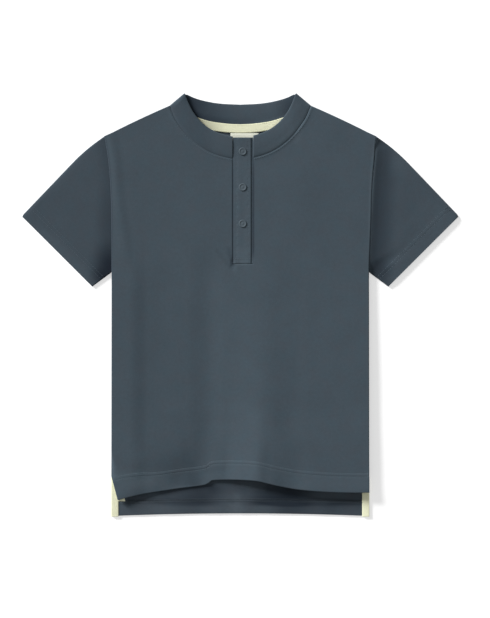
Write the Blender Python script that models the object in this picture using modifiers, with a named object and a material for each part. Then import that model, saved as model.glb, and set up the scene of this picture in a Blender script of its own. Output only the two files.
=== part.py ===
"""Child's short-sleeved shirt with a band collar and a snapped placket, laid flat on its back.

Lengths are in metres. X runs across the shirt, Y up it towards the collar, and Z up from the
surface that it lies on. The origin is on that surface, below the middle of the laid outline.
The shirt is alike left and right but for its front hem, its placket and its label, so most
tables give the right half and the left one is mirrored.
"""

import math

import bmesh
import bpy
from mathutils import Vector

MM = 0.001

# Cloth, in layers as thick as they are when sewn.
JERSEY = 1.2 * MM
BAND = 1.6 * MM  # collar and placket strips, of two layers pressed together
TAPE = 1.0 * MM
GAP = 0.3 * MM  # between any two pieces, at seams and between layers

# Cut of the body, laid flat.
HALF_CHEST = 161.0 * MM
UNDERARM_Y = 39.0 * MM
ARMHOLE_X = 160.7 * MM  # at the underarm
ARMHOLE_FLARE = 9.1 * MM  # how much further out the armhole ends, at the shoulder
SHOULDER_TIP_Y = 210.1 * MM
NECK_JOINT = Vector((88.4 * MM, 248.3 * MM))  # shoulder seam meets collar seam
SHOULDER_SLOPE = 0.43
SHOULDER_DROP = 0.55  # extra fall per metre squared, towards the arm
VENT_TOP_Y = -214.0 * MM
BACK_HEM_Y = -264.3 * MM
BACK_HEM_ARCH = 3.3 * MM
BACK_CURL = 0.6 * MM  # how far the back's sewn edges lift off the surface
CURL_REACH = 4.0 * MM
REST = 0.02 * MM  # height of the sleeves and the collar above the surface, for rounding
EDGE_STRIP = 5.0 * MM  # width of a panel's rim, which the grid leaves whole

# Layers between the two panels, all at the height of the underside.
OVER_BACK = JERSEY + GAP
OVER_BACK_TAPE = OVER_BACK + TAPE + GAP
SEAM_LIFT = BACK_CURL + OVER_BACK  # front panel's underside along a sewn edge
FRONT_LIFT = 3.9 * MM  # and in the middle of the chest
VENT_LIFT = OVER_BACK_TAPE + TAPE + GAP
FRONT_CURL_REACH = 6.0 * MM

# Front hem from left to right: where it runs, and how high its underside is.
FRONT_HEM = (  # x, y, lift, in mm
    (-152.9, -244.1, 4.4),
    (-142.5, -241.2, 4.5),
    (-127.5, -237.7, 4.2),
    (-117.4, -235.8, 3.9),
    (-79.0, -230.0, 5.0),
    (-44.0, -225.2, 4.5),
    (-36.0, -219.9, 5.8),
    (-10.0, -218.7, 8.8),
    (19.0, -219.9, 9.0),
    (36.0, -223.7, 7.2),
    (53.0, -227.5, 5.2),
    (74.0, -231.0, 4.3),
    (104.3, -233.5, 4.8),
    (135.0, -234.6, 4.6),
    (161.0, -234.6, 4.4),
)
HEM_FOLD = (  # y, share of the hem's rise that is left there
    (-219.0, 1.0),
    (-170.0, 0.78),
    (-120.0, 0.52),
    (-60.0, 0.3),
    (0.0, 0.12),
    (60.0, 0.0),
)

# Neck, right half: the collar's seams with the panels and its top edge, in mm.
FRONT_SEAM = (
    (0.0, 182.0),
    (14.0, 183.2),
    (32.0, 188.2),
    (48.0, 196.4),
    (64.5, 210.3),
    (79.8, 229.6),
    (88.4, 248.3),
)
FRONT_EDGE = (
    (0.0, 208.6),
    (11.5, 210.0),
    (22.5, 212.6),
    (32.5, 216.6),
    (43.0, 223.0),
    (53.0, 232.6),
    (61.5, 245.0),
    (69.8, 264.0),
)
BACK_SEAM = (
    (0.0, 224.6),
    (16.6, 225.4),
    (37.3, 228.3),
    (53.3, 233.2),
    (71.0, 240.4),
    (88.4, 248.3),
)
BACK_EDGE = (
    (0.0, 249.8),
    (23.0, 250.9),
    (40.5, 253.5),
    (56.5, 257.8),
    (69.8, 264.0),
)
CURVE_STEPS = 3  # segments between two rows of a table
SHORTEST_RUN = 6.0 * MM  # of a cut curve's first segment

# Collar: fold radius of its middle layer at each side, and the height of its front's top edge.
FOLD_RADIUS_SEAM = 1.4 * MM
FOLD_RADIUS_EDGE = 2.0 * MM
COLLAR_FRONT_LIFT = 5.8 * MM
COLLAR_CORNER = 1.4 * MM  # how far the collar's folds stay above the shoulder seams
COLLAR_STATIONS = 12
FOLD_STATIONS = 6
COLLAR_ROWS = 5
COLLAR_SWELL = 0.5 * MM

# Placket.
SLOT_BOTTOM_Y = 50.6 * MM
PLACKET_BOTTOM_Y = 50.9 * MM
PLACKET_TOP_Y = 208.4 * MM
TOP_STRIP_X = (-9.7 * MM, 12.9 * MM)
UNDER_STRIP_X = (-4.4 * MM, 15.9 * MM)
STRIP_STEP = 4.0 * MM  # width over which the top strip climbs on the lower one
SLOT_X = (TOP_STRIP_X[0] - GAP, UNDER_STRIP_X[1] + GAP)

SNAP_X = 3.0 * MM
SNAP_HEIGHTS = {"snap_upper": 191.0 * MM, "snap_middle": 146.4 * MM, "snap_lower": 100.9 * MM}
SNAP_RADIUS = 4.8 * MM
SNAP_RISE = 1.3 * MM
SNAP_DISH = 0.4 * MM
SNAP_RIM = 1.3 * MM
SNAP_SIDES = 24

# Tapes and label.
NECK_TAPE_WIDTH = 11.0 * MM
NECK_TAPE_HALF = 62.0 * MM
LABEL_X = (-12.1 * MM, 22.8 * MM)
LABEL_LENGTH = 24.0 * MM
VENT_TAPE_WIDTH = 9.0 * MM
VENT_TAPE_TOP_Y = -216.0 * MM
LEFT_TAPE_SHOWS = 1.2 * MM  # length of the left front tape below its hem

# Sleeve, left one mirrored.
SLEEVE_TOP = (  # outer fold from shoulder to cuff, in mm
    (169.8, 210.1),
    (182.6, 200.9),
    (192.0, 193.4),
    (200.4, 185.9),
    (208.0, 178.5),
    (240.2, 144.9),
    (272.4, 111.2),
)
SLEEVE_BOTTOM = ((161.0, 40.0), (184.4, 22.9))
SLEEVE_ROWS = 14
SLEEVE_TOP_POINTS = 12
SLEEVE_FLOOR_POINTS = 4
SLEEVE_FOLD_POINTS = 5
SLEEVE_SEAM_LIFT = OVER_BACK  # underside of the sleeve's upper layer at the armhole
SLEEVE_RISE = 3.4 * MM
SLEEVE_REACH = 9.0 * MM
CUFF_LIFT = 3.0 * MM
CUFF_REACH = 45.0 * MM

CELL = (10.0 * MM, 22.0 * MM)  # grid that a panel is divided by
BACK_CELL = (32.0 * MM, 40.0 * MM)
TAPE_CELL = (12.0 * MM, 12.0 * MM)
STRIP_CELL = (4.4 * MM, 9.0 * MM)
MERGE = 0.2 * MM

SLATE = (0.058, 0.082, 0.102)
SNAP_SLATE = (0.075, 0.1, 0.122)
CREAM = (0.66, 0.67, 0.53)


def ramp(low, high, value):
    """Smooth step from 0 at low to 1 at high."""
    share = min(1.0, max(0.0, (value - low) / (high - low)))
    return share * share * (3.0 - 2.0 * share)


def spline(before, start, end, after, share):
    """Point of a Catmull-Rom curve between start and end."""
    return 0.5 * (
        2.0 * start
        + (end - before) * share
        + (2.0 * before - 5.0 * start + 4.0 * end - after) * share**2
        + (3.0 * start - before - 3.0 * end + after) * share**3
    )


def smooth_line(table, steps=CURVE_STEPS):
    """Smooth line through a table's points, which are in millimetres."""
    points = [Vector(row[:2]) * MM for row in table]
    ends = [2.0 * points[0] - points[1], *points, 2.0 * points[-1] - points[-2]]
    line = []
    for index in range(len(points) - 1):
        for step in range(steps):
            line.append(spline(*ends[index : index + 4], step / steps))
    return line + [points[-1]]


def read(table, x, column=1):
    """A table's column at x, with straight runs smoothed between its rows."""
    rows = [(row[0] * MM, row[column]) for row in table]
    if x <= rows[0][0]:
        return rows[0][1]
    for (low, start), (high, end) in zip(rows, rows[1:]):
        if x <= high:
            share = (x - low) / (high - low)
            return start + (end - start) * (share + ramp(low, high, x)) / 2.0
    return rows[-1][1]


def cut_at(line, x):
    """The part of a line that lies beyond x, on a line whose x grows."""
    start = next(point for point in reversed(line) if point.x <= x)
    end = next(point for point in line if point.x > x)
    cut = start.lerp(end, (x - start.x) / (end.x - start.x))
    return [cut, *[point for point in line if point.x > x + SHORTEST_RUN]]


def along(line, count):
    """Points at even distances along a line."""
    lengths = [0.0]
    for start, end in zip(line, line[1:]):
        lengths.append(lengths[-1] + (end - start).length)
    points = []
    segment = 0
    for step in range(count):
        wanted = lengths[-1] * step / (count - 1)
        while segment < len(line) - 2 and lengths[segment + 1] < wanted:
            segment += 1
        run = lengths[segment + 1] - lengths[segment]
        points.append(line[segment].lerp(line[segment + 1], (wanted - lengths[segment]) / run))
    return points


def mirrored(line):
    return [Vector((-point.x, point.y)) for point in line]


def armhole_x(y):
    share = (y - UNDERARM_Y) / (SHOULDER_TIP_Y - UNDERARM_Y)
    return ARMHOLE_X + ARMHOLE_FLARE * max(0.0, share) ** 4


def armhole():
    """Right armhole, from the underarm up."""
    count = 9
    span = SHOULDER_TIP_Y - UNDERARM_Y
    heights = [UNDERARM_Y + span * step / (count - 1) for step in range(count)]
    return [Vector((armhole_x(y), y)) for y in heights]


def shoulder():
    """Right shoulder seam, from the armhole in to the collar."""
    count = 7
    run = armhole_x(SHOULDER_TIP_Y) - NECK_JOINT.x
    line = []
    for step in range(count):
        out = run * (1.0 - step / (count - 1))
        line.append(NECK_JOINT + Vector((out, -SHOULDER_SLOPE * out - SHOULDER_DROP * out**2)))
    return line


def sewn_side():
    """Right side from the vent's top to the collar: side seam, armhole and shoulder."""
    return [Vector((HALF_CHEST, VENT_TOP_Y)), *armhole(), *shoulder()[1:]]


def distance_to(line, point):
    """Distance from a point to a line of straight runs."""
    nearest = math.inf
    for start, end in zip(line, line[1:]):
        run = end - start
        share = min(1.0, max(0.0, (point - start).dot(run) / run.length_squared))
        nearest = min(nearest, (point - start - run * share).length)
    return nearest


SIDE = sewn_side()


def from_side(x, y):
    return distance_to(SIDE, Vector((abs(x), y)))


def back_lift(x, y):
    """Height of the back's underside: flat but for its sewn edges."""
    above_vent = ramp(VENT_TOP_Y, VENT_TOP_Y + 2.0 * CURL_REACH, y)
    return BACK_CURL * above_vent * ramp(CURL_REACH, 0.0, from_side(x, y))


def front_lift(x, y):
    """Height of the front's underside."""
    rise = 1.0 - math.exp(-from_side(x, y) / FRONT_CURL_REACH)
    at_vent = ramp(-188.0 * MM, VENT_TOP_Y, y) * ramp(140.0 * MM, 150.0 * MM, abs(x))
    base = SEAM_LIFT + (FRONT_LIFT - SEAM_LIFT) * rise
    base += (VENT_LIFT - base) * at_vent
    at_neck = ramp(40.0 * MM, 0.0, (NECK_JOINT - Vector((abs(x), y))).length)
    base += 0.4 * MM * at_neck
    hem_rise = read(FRONT_HEM, x, 2) * MM - FRONT_LIFT
    inside = ramp(0.0, 30.0 * MM, HALF_CHEST - abs(x))
    kept = read(HEM_FOLD, y)
    return base + hem_rise * kept * inside


def collar_edge_lift(x):
    """Height of the front collar's underside along its top edge."""
    at_fold = 2.0 * FOLD_RADIUS_EDGE
    return COLLAR_FRONT_LIFT + (at_fold - COLLAR_FRONT_LIFT) * ramp(14.0 * MM, 68.0 * MM, abs(x))


def placket_lift(x, y):
    """Height of the lower strip's underside: level with the front, then up with the collar."""
    seam_y = FRONT_SEAM[0][1] * MM
    share = max(0.0, (y - seam_y) / (PLACKET_TOP_Y - seam_y))
    on_front = front_lift(x, min(y, seam_y))
    return on_front + (COLLAR_FRONT_LIFT - on_front) * share


def top_strip_lift(x, y):
    climb = ramp(TOP_STRIP_X[0], TOP_STRIP_X[0] + STRIP_STEP - GAP, x)
    return placket_lift(x, y) + (BAND + GAP) * climb


def finish(name, material):
    """Gives an object its material and its smooth shading."""
    thing = bpy.data.objects[name]
    thing.data.materials.append(material)
    thing.data.shade_smooth()
    thing.data.set_sharp_from_angle(angle=math.radians(40.0))
    return thing


def new_object(name, mesh_builder):
    mesh = bpy.data.meshes.new(name)
    mesh_builder.to_mesh(mesh)
    mesh_builder.free()
    thing = bpy.data.objects.new(name, mesh)
    SHIRT.objects.link(thing)
    return thing


def panel(name, outline, lift, thickness, cell, material, rim=None):
    """A wall of cloth: a flat outline, divided by a grid, raised to its underside's height."""
    cloth = bmesh.new()
    middle = cloth.faces.new([cloth.verts.new((point.x, point.y, 0.0)) for point in outline])
    middle.normal_update()
    if rim:
        bmesh.ops.inset_individual(cloth, faces=[middle], thickness=rim, use_even_offset=True)
    inner = [middle]
    for axis in (0, 1):
        values = [point[axis] for point in outline]
        low, high = min(values), max(values)
        count = max(1, round((high - low) / cell[axis]))
        normal = Vector((axis == 0, axis == 1, 0.0))
        for step in range(1, count):
            edges = {edge for face in inner for edge in face.edges}
            verts = {vert for face in inner for vert in face.verts}
            cut = bmesh.ops.bisect_plane(
                cloth,
                geom=[*verts, *edges, *inner],
                dist=MERGE,
                plane_co=normal * (low + (high - low) * step / count),
                plane_no=normal,
            )
            inner = [part for part in cut["geom"] if isinstance(part, bmesh.types.BMFace)]
    bmesh.ops.triangulate(cloth, faces=[face for face in cloth.faces if len(face.verts) > 4])
    for vert in cloth.verts:
        vert.co.z = lift(vert.co.x, vert.co.y)
    layer = bmesh.ops.extrude_face_region(cloth, geom=cloth.faces[:], use_keep_orig=True)
    for part in layer["geom"]:
        if isinstance(part, bmesh.types.BMVert):
            part.co.z += thickness
    bmesh.ops.recalc_face_normals(cloth, faces=cloth.faces[:])
    new_object(name, cloth)
    return finish(name, material)


def loft(name, sections, closed, thickness, material):
    """A wall of cloth about sections that have the same number of points."""
    cloth = bmesh.new()
    rows = [[cloth.verts.new(point) for point in section] for section in sections]
    for row, following in zip(rows, rows[1:]):
        last = len(row) if closed else len(row) - 1
        for index in range(last):
            beside = (index + 1) % len(row)
            cloth.faces.new((row[index], row[beside], following[beside], following[index]))
    bmesh.ops.recalc_face_normals(cloth, faces=cloth.faces[:])
    wall = new_object(name, cloth).modifiers.new("Wall", "SOLIDIFY")
    wall.thickness = thickness
    wall.offset = 0.0
    wall.use_even_offset = True
    return finish(name, material)


def body_outline(hem, neckline):
    """Body panel from its hem, left to right, round by the sides to its neckline, right to left."""
    right = [point for point in sewn_side() if (point - hem[-1]).length > GAP]
    left = mirrored(right)[::-1]
    outline = [*hem, *right[:-1], *neckline, *left[1:]]
    return outline


def back_outline():
    count = 9
    hem = []
    for step in range(count):
        across = 2.0 * step / (count - 1) - 1.0
        hem.append(Vector((HALF_CHEST * across, BACK_HEM_Y + BACK_HEM_ARCH * (1.0 - across**2))))
    seam = smooth_line(BACK_SEAM)
    return body_outline(hem, [*seam[::-1], *mirrored(seam)[1:]])


def front_outline():
    seam = smooth_line(FRONT_SEAM)
    right = cut_at(seam, SLOT_X[1])
    left = cut_at(seam, -SLOT_X[0])
    slot = [Vector((SLOT_X[1], SLOT_BOTTOM_Y)), Vector((SLOT_X[0], SLOT_BOTTOM_Y))]
    return body_outline(smooth_line(FRONT_HEM, 2), [*right[::-1], *slot, *mirrored(left)])


def collar_half(end_x, side):
    """Pairs of seam and edge points of the collar's front, from the placket out to the fold."""
    seam = along(cut_at(smooth_line(FRONT_SEAM), end_x), COLLAR_STATIONS)
    edge = along(cut_at(smooth_line(FRONT_EDGE), end_x), COLLAR_STATIONS)
    pairs = []
    for low, high in zip(seam[:-1], edge[:-1]):
        start = low + (high - low).normalized() * GAP
        lift_low = front_lift(side * low.x, low.y) + BAND / 2.0
        lift_high = collar_edge_lift(high.x) + BAND / 2.0
        pairs.append(((side * start.x, start.y, lift_low), (side * high.x, high.y, lift_high)))
    return pairs


def collar_fold(side):
    """Pairs of points round the collar's side fold, from the front to the back."""
    joint = NECK_JOINT.copy()
    tip = Vector(FRONT_EDGE[-1]) * MM
    up = (tip - joint).normalized()
    out = Vector((up.y, -up.x))
    pairs = []
    for step in range(FOLD_STATIONS + 1):
        turn = math.radians(90.0 - 180.0 * step / FOLD_STATIONS)
        pair = []
        for corner, radius in ((joint + up * COLLAR_CORNER, FOLD_RADIUS_SEAM), (tip, FOLD_RADIUS_EDGE)):
            place = corner + out * (radius * (math.cos(turn) - 1.0) - BAND / 2.0)
            height = REST + BAND / 2.0 + radius * (1.0 + math.sin(turn))
            pair.append((side * place.x, place.y, height))
        pairs.append(tuple(pair))
    return pairs


def collar_back():
    """Pairs of points along the collar's back, from right to left, without its folds."""
    seam = along(smooth_line(BACK_SEAM), COLLAR_STATIONS)[:-1]
    edge = along(smooth_line(BACK_EDGE), COLLAR_STATIONS)[:-1]
    half = []
    for low, high in zip(seam, edge):
        start = low + (high - low).normalized() * GAP
        half.append((start, high))
    both = [*half[::-1], *[(mirrored([low])[0], mirrored([high])[0]) for low, high in half[1:]]]
    level = REST + BAND / 2.0
    return [((*low, level), (*high, level)) for low, high in both]


def collar(material):
    right = [*collar_half(SLOT_X[1], 1.0), *collar_fold(1.0)]
    left = [*collar_half(-SLOT_X[0], -1.0), *collar_fold(-1.0)]
    ring = [*right, *collar_back(), *left[::-1]]
    sections = []
    for low, high in ring:
        section = []
        for row in range(COLLAR_ROWS):
            share = row / (COLLAR_ROWS - 1)
            point = Vector(low).lerp(Vector(high), share)
            in_front = ramp(BAND, 2.0 * BAND, point.z)
            point.z += COLLAR_SWELL * math.sin(math.pi * share) * in_front
            section.append(point)
        sections.append(section)
    return loft("collar", sections, False, BAND, material)


def sleeve_lift(x, y, from_cuff):
    """Height of the underside of the sleeve's upper layer, at a place on the right sleeve."""
    out = max(0.0, x - armhole_x(min(y, SHOULDER_TIP_Y)))
    rise = SLEEVE_RISE * (1.0 - math.exp(-out / SLEEVE_REACH))
    lift = SLEEVE_SEAM_LIFT + rise
    return lift + (CUFF_LIFT - lift) * ramp(CUFF_REACH, 0.0, from_cuff) * ramp(0.0, 12.0 * MM, out)


def sleeve_section(top, bottom, from_cuff):
    """One flattened ring of the sleeve's middle layer, from its outer fold to its lower one."""
    across = (bottom - top).normalized()
    middle = top.lerp(bottom, 0.5)
    radius_at = {}
    for end in (top, bottom):
        inside = end.lerp(middle, 0.04)
        lift = min(sleeve_lift(inside.x, inside.y, from_cuff), SLEEVE_SEAM_LIFT + 1.2 * MM)
        radius_at[end.y] = lift / 2.0
    ring = []
    for end, facing in ((top, -1.0), (bottom, 1.0)):
        radius = radius_at[end.y]
        centre = end - across * facing * (radius + JERSEY / 2.0)
        fold = []
        for step in range(SLEEVE_FOLD_POINTS):
            turn = math.radians(-90.0 + 180.0 * step / (SLEEVE_FOLD_POINTS - 1))
            place = centre + across * facing * radius * math.cos(turn)
            height = REST + JERSEY / 2.0 + radius * (1.0 + math.sin(turn))
            fold.append((place.x, place.y, height))
        ring.append(fold)
    outer, inner = ring
    start, end = Vector(outer[-1]), Vector(inner[-1])
    upper = []
    for step in range(1, SLEEVE_TOP_POINTS):
        share = step / SLEEVE_TOP_POINTS
        point = start.lerp(end, share)
        swell = min(ramp(0.0, 0.16, share), ramp(1.0, 0.84, share))
        lift = sleeve_lift(point.x, point.y, from_cuff) + JERSEY / 2.0
        point.z += (lift - point.z) * swell
        upper.append(tuple(point))
    start, end = Vector(inner[0]), Vector(outer[0])
    lower = [
        tuple(start.lerp(end, step / SLEEVE_FLOOR_POINTS)) for step in range(1, SLEEVE_FLOOR_POINTS)
    ]
    return [*outer, *upper, *inner[::-1], *lower]


def sleeve(name, side, material):
    top = along(smooth_line(SLEEVE_TOP), SLEEVE_ROWS)
    bottom = along([Vector(point) * MM for point in SLEEVE_BOTTOM], SLEEVE_ROWS)
    away = Vector((GAP, 0.0))
    sections = []
    for row, (high, low) in enumerate(zip(top, bottom)):
        share = row / (SLEEVE_ROWS - 1)
        from_cuff = (1.0 - share) * (high - top[-1]).length
        section = sleeve_section(high + away, low + away, from_cuff)
        if row == 0:
            section = [(armhole_x(y) + GAP, y, z) for _, y, z in section]
        sections.append([(side * x, y, z) for x, y, z in section])
    return loft(name, sections, True, JERSEY, material)


def strip(name, x_range, lift, material):
    low, high = x_range
    outline = [
        Vector((low, PLACKET_BOTTOM_Y)),
        Vector((high, PLACKET_BOTTOM_Y)),
        Vector((high, PLACKET_TOP_Y)),
        Vector((low, PLACKET_TOP_Y)),
    ]
    return panel(name, outline, lift, BAND, STRIP_CELL, material)


def snap(name, y, material):
    """A snap cap: a turned disc with a raised rim and a shallow dish, tilted to its strip."""
    profile = (
        (SNAP_RADIUS - 0.4 * MM, 0.0),
        (SNAP_RADIUS, 0.5 * MM),
        (SNAP_RADIUS - 0.2 * MM, SNAP_RISE - 0.3 * MM),
        (SNAP_RADIUS - SNAP_RIM / 2.0, SNAP_RISE),
        (SNAP_RADIUS - SNAP_RIM, SNAP_RISE - 0.2 * MM),
        (SNAP_RADIUS - SNAP_RIM - 0.4 * MM, SNAP_RISE - SNAP_DISH),
        (0.0, SNAP_RISE - SNAP_DISH),
    )
    cap = bmesh.new()
    points = [cap.verts.new((radius, 0.0, height)) for radius, height in ((0.0, 0.0), *profile)]
    edges = [cap.edges.new(pair) for pair in zip(points, points[1:])]
    bmesh.ops.spin(
        cap,
        geom=points + edges,
        axis=(0.0, 0.0, 1.0),
        cent=(0.0, 0.0, 0.0),
        angle=2.0 * math.pi,
        steps=SNAP_SIDES,
        use_merge=True,
    )
    bmesh.ops.remove_doubles(cap, verts=cap.verts[:], dist=0.01 * MM)
    bmesh.ops.recalc_face_normals(cap, faces=cap.faces[:])
    thing = new_object(name, cap)
    below = top_strip_lift(SNAP_X, y - SNAP_RADIUS)
    above = top_strip_lift(SNAP_X, y + SNAP_RADIUS)
    tilt = math.atan2(above - below, 2.0 * SNAP_RADIUS)
    highest = max(below + above, 2.0 * top_strip_lift(SNAP_X, y)) / 2.0
    thing.location = (SNAP_X, y, highest + BAND + GAP)
    thing.rotation_euler = (tilt, 0.0, 0.0)
    return finish(name, material)


def neck_tape(material):
    seam = [point for point in smooth_line(BACK_SEAM) if point.x < NECK_TAPE_HALF]
    upper = [point - Vector((0.0, GAP)) for point in seam]
    lower = [point - Vector((0.0, NECK_TAPE_WIDTH)) for point in seam]
    outline = [*mirrored(lower)[:0:-1], *lower, *upper[::-1], *mirrored(upper)[1:]]
    return panel("neck_tape", outline, lambda x, y: OVER_BACK, TAPE, TAPE_CELL, material)


def neck_label(material):
    left, right = LABEL_X
    top = BACK_SEAM[0][1] * MM - NECK_TAPE_WIDTH - GAP
    bottom = top - LABEL_LENGTH
    outline = [Vector((left, bottom)), Vector((right, bottom)), Vector((right, top)), Vector((left, top))]
    return panel("neck_label", outline, lambda x, y: OVER_BACK, TAPE, TAPE_CELL, material)


def vent_tape(name, outer_top, outer_bottom, side, height, material):
    """A tape along one edge of a vent; side is 1 on the right and -1 on the left."""
    inward = Vector((-side * VENT_TAPE_WIDTH, 0.0))
    outline = [outer_bottom, outer_top, outer_top + inward, outer_bottom + inward]
    return panel(name, outline, lambda x, y: height, TAPE, TAPE_CELL, material)


def vent_tapes(material):
    for name, side in (("right", 1.0), ("left", -1.0)):
        top = Vector((side * HALF_CHEST, VENT_TAPE_TOP_Y))
        bottom = Vector((side * HALF_CHEST, BACK_HEM_Y))
        vent_tape(f"vent_tape_back_{name}", top, bottom, side, OVER_BACK, material)
    right_end = Vector(FRONT_HEM[-1][:2]) * MM
    top = Vector((HALF_CHEST, VENT_TAPE_TOP_Y))
    vent_tape("vent_tape_front_right", top, right_end, 1.0, OVER_BACK_TAPE, material)
    left_end = Vector(FRONT_HEM[0][:2]) * MM
    vent_top = Vector((-HALF_CHEST, VENT_TOP_Y))
    share = (VENT_TOP_Y - VENT_TAPE_TOP_Y) / (VENT_TOP_Y - left_end.y)
    top = vent_top.lerp(left_end, share)
    below = left_end + (left_end - vent_top).normalized() * LEFT_TAPE_SHOWS
    vent_tape("vent_tape_front_left", top, below, -1.0, OVER_BACK_TAPE, material)


def finish_colour(name, colour, roughness):
    material = bpy.data.materials.new(name)
    material.use_nodes = True
    shader = material.node_tree.nodes["Principled BSDF"]
    shader.inputs["Base Color"].default_value = (*colour, 1.0)
    shader.inputs["Roughness"].default_value = roughness
    shader.inputs["Metallic"].default_value = 0.0
    return material


def shirt():
    jersey = finish_colour("slate jersey", SLATE, 0.95)
    tape = finish_colour("cream tape", CREAM, 0.9)
    cap = finish_colour("slate snap", SNAP_SLATE, 0.5)
    panel("back", back_outline(), back_lift, JERSEY, BACK_CELL, jersey, EDGE_STRIP)
    panel("front", front_outline(), front_lift, JERSEY, CELL, jersey, EDGE_STRIP)
    sleeve("sleeve_right", 1.0, jersey)
    sleeve("sleeve_left", -1.0, jersey)
    collar(jersey)
    strip("placket_under", UNDER_STRIP_X, placket_lift, jersey)
    strip("placket_top", TOP_STRIP_X, top_strip_lift, jersey)
    for name, y in SNAP_HEIGHTS.items():
        snap(name, y, cap)
    neck_tape(tape)
    neck_label(tape)
    vent_tapes(tape)


for old in list(bpy.data.objects):
    bpy.data.objects.remove(old)
SHIRT = bpy.data.collections.new("band_collar_shirt")
bpy.context.scene.collection.children.link(SHIRT)
shirt()
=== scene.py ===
"""Looks of a child's jersey shirt with a band collar and a snapped placket, laid flat on its back.

Lengths are in metres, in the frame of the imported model: X across the shirt, Y up towards the
collar, Z up from the surface. Cloth is built from its cut: an outline or a run of sections gives
each piece its plan, and functions of the place give it its height.
"""

import math

import bmesh
import bpy
import numpy as np
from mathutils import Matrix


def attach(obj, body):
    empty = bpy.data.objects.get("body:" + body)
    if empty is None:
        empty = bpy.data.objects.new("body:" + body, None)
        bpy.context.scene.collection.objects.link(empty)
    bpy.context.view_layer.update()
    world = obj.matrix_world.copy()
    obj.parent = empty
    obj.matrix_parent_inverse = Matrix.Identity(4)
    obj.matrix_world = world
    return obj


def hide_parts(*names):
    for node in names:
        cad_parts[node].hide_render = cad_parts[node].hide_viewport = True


MM = 0.001

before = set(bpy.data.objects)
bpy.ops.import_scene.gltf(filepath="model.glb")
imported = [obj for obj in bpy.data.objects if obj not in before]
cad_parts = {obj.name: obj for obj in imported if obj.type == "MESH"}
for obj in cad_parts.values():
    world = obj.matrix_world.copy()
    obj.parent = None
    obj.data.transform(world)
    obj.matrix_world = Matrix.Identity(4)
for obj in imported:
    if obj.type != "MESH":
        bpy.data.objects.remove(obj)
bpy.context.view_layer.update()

# ---------------------------------------------------------------------------------------------
# Sizes

# Cloth as sewn.
JERSEY = 1.2 * MM
BAND = 1.6 * MM
STRIP = 1.0 * MM
TAPE = 0.9 * MM
THREAD = 0.32 * MM
WALE, COURSE = 0.82 * MM, 0.62 * MM  # width and height of a loop of the jersey

# Cut of the body.
HALF_CHEST = 161.0 * MM
UNDERARM = (160.7 * MM, 40.2 * MM)
ARMHOLE_FLARE = 9.1 * MM
SHOULDER_TIP = np.array((169.8, 210.1)) * MM
NECK_JOINT = (88.4 * MM, 248.3 * MM)
SHOULDER_SLOPE = 0.43
SHOULDER_DROP = 0.55
VENT_TOP_Y = -214.0 * MM
BACK_HEM_Y = -264.3 * MM
BACK_HEM_ARCH = 3.3 * MM
BACK_HEM_TURN = 0.7 * MM  # how much thicker the back is where its hem is turned in

# Front hem, left to right, as it lies.
FRONT_HEM = np.array(  # x, y, in mm
    (
        (-152.9, -244.1), (-142.5, -241.2), (-127.5, -237.7), (-117.4, -235.8), (-79.0, -230.0),
        (-44.0, -225.2), (-36.0, -219.9), (-10.0, -218.7), (19.0, -219.9), (36.0, -223.7),
        (53.0, -227.5), (74.0, -231.0), (104.3, -233.5), (135.0, -234.6), (161.0, -234.6),
    )
) * MM
HEM_LINE_Y = -232.0 * MM  # where that hem lies in the cut, before the front is pulled into shape
HEM_PULL_FULL_Y = -196.0 * MM
HEM_PULL_END_Y = -110.0 * MM

# Neck, right half.
FRONT_SEAM = np.array(  # x, y, in mm
    (
        (0.0, 182.0), (14.0, 183.2), (32.0, 188.2), (48.0, 196.4), (64.5, 210.3),
        (79.8, 229.6), (88.4, 248.3),
    )
) * MM
FRONT_EDGE = np.array(
    (
        (0.0, 208.6), (11.5, 210.0), (22.5, 212.6), (32.5, 216.6), (43.0, 223.0),
        (53.0, 232.6), (61.5, 245.0), (69.8, 264.0),
    )
) * MM
BACK_SEAM = np.array(
    (
        (0.0, 224.6), (16.6, 225.4), (37.3, 228.3), (53.3, 233.2), (71.0, 240.4),
        (88.4, 248.3),
    )
) * MM
BACK_EDGE = np.array(
    (
        (0.0, 249.8), (23.0, 250.9), (40.5, 253.5), (56.5, 257.8), (69.8, 264.0),
    )
) * MM

# Heights of the undersides of the layers.
BACK_CURL = 0.6 * MM
SIDE_SEAM_LIFT = 2.0 * MM
ARMHOLE_SEAM_LIFTS = (3.5 * MM, 4.2 * MM)  # left and right
VENT_LIFT = 3.9 * MM
PLATEAU_LIFT = 3.3 * MM  # of the front, left of its middle
LOWEST_LIFT = 1.35 * MM  # of the front, where a fold presses it on the back
CHEST_STEP = 1.7 * MM  # how much higher its right side lies, at the chest and at the belly
BELLY_STEP = 3.4 * MM
LEFT_RIDGE = 1.9 * MM
RELIEF_SHARE = 0.65  # of the front's relief that is its height; the rest only shades its cloth
HEM_DROP = 2.0 * MM  # how much lower the left part of its hem lies
COLLAR_TOP_LIFT = 4.4 * MM
PRESSED_EDGES = (1.2 * MM, 1.0 * MM)  # how far in from a sewn edge the front is still rising
OPEN_EDGE = 9.0 * MM
RIGHT_ARMHOLE_PULL = 2.3 * MM  # how far the cloth pulls the right armhole's seam out
RIGHT_SLEEVE_LIFT = 2.7 * MM  # how high the right sleeve leaves its armhole, and how soon it falls
RIGHT_SLEEVE_FALL = 10.0 * MM
SLEEVE_TOP_LOWEST = 2.5 * MM  # outer face of a sleeve's upper layer, where it lies on the lower one
REST = 0.02 * MM  # height of the sleeves and the collar above the surface, for rounding

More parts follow.
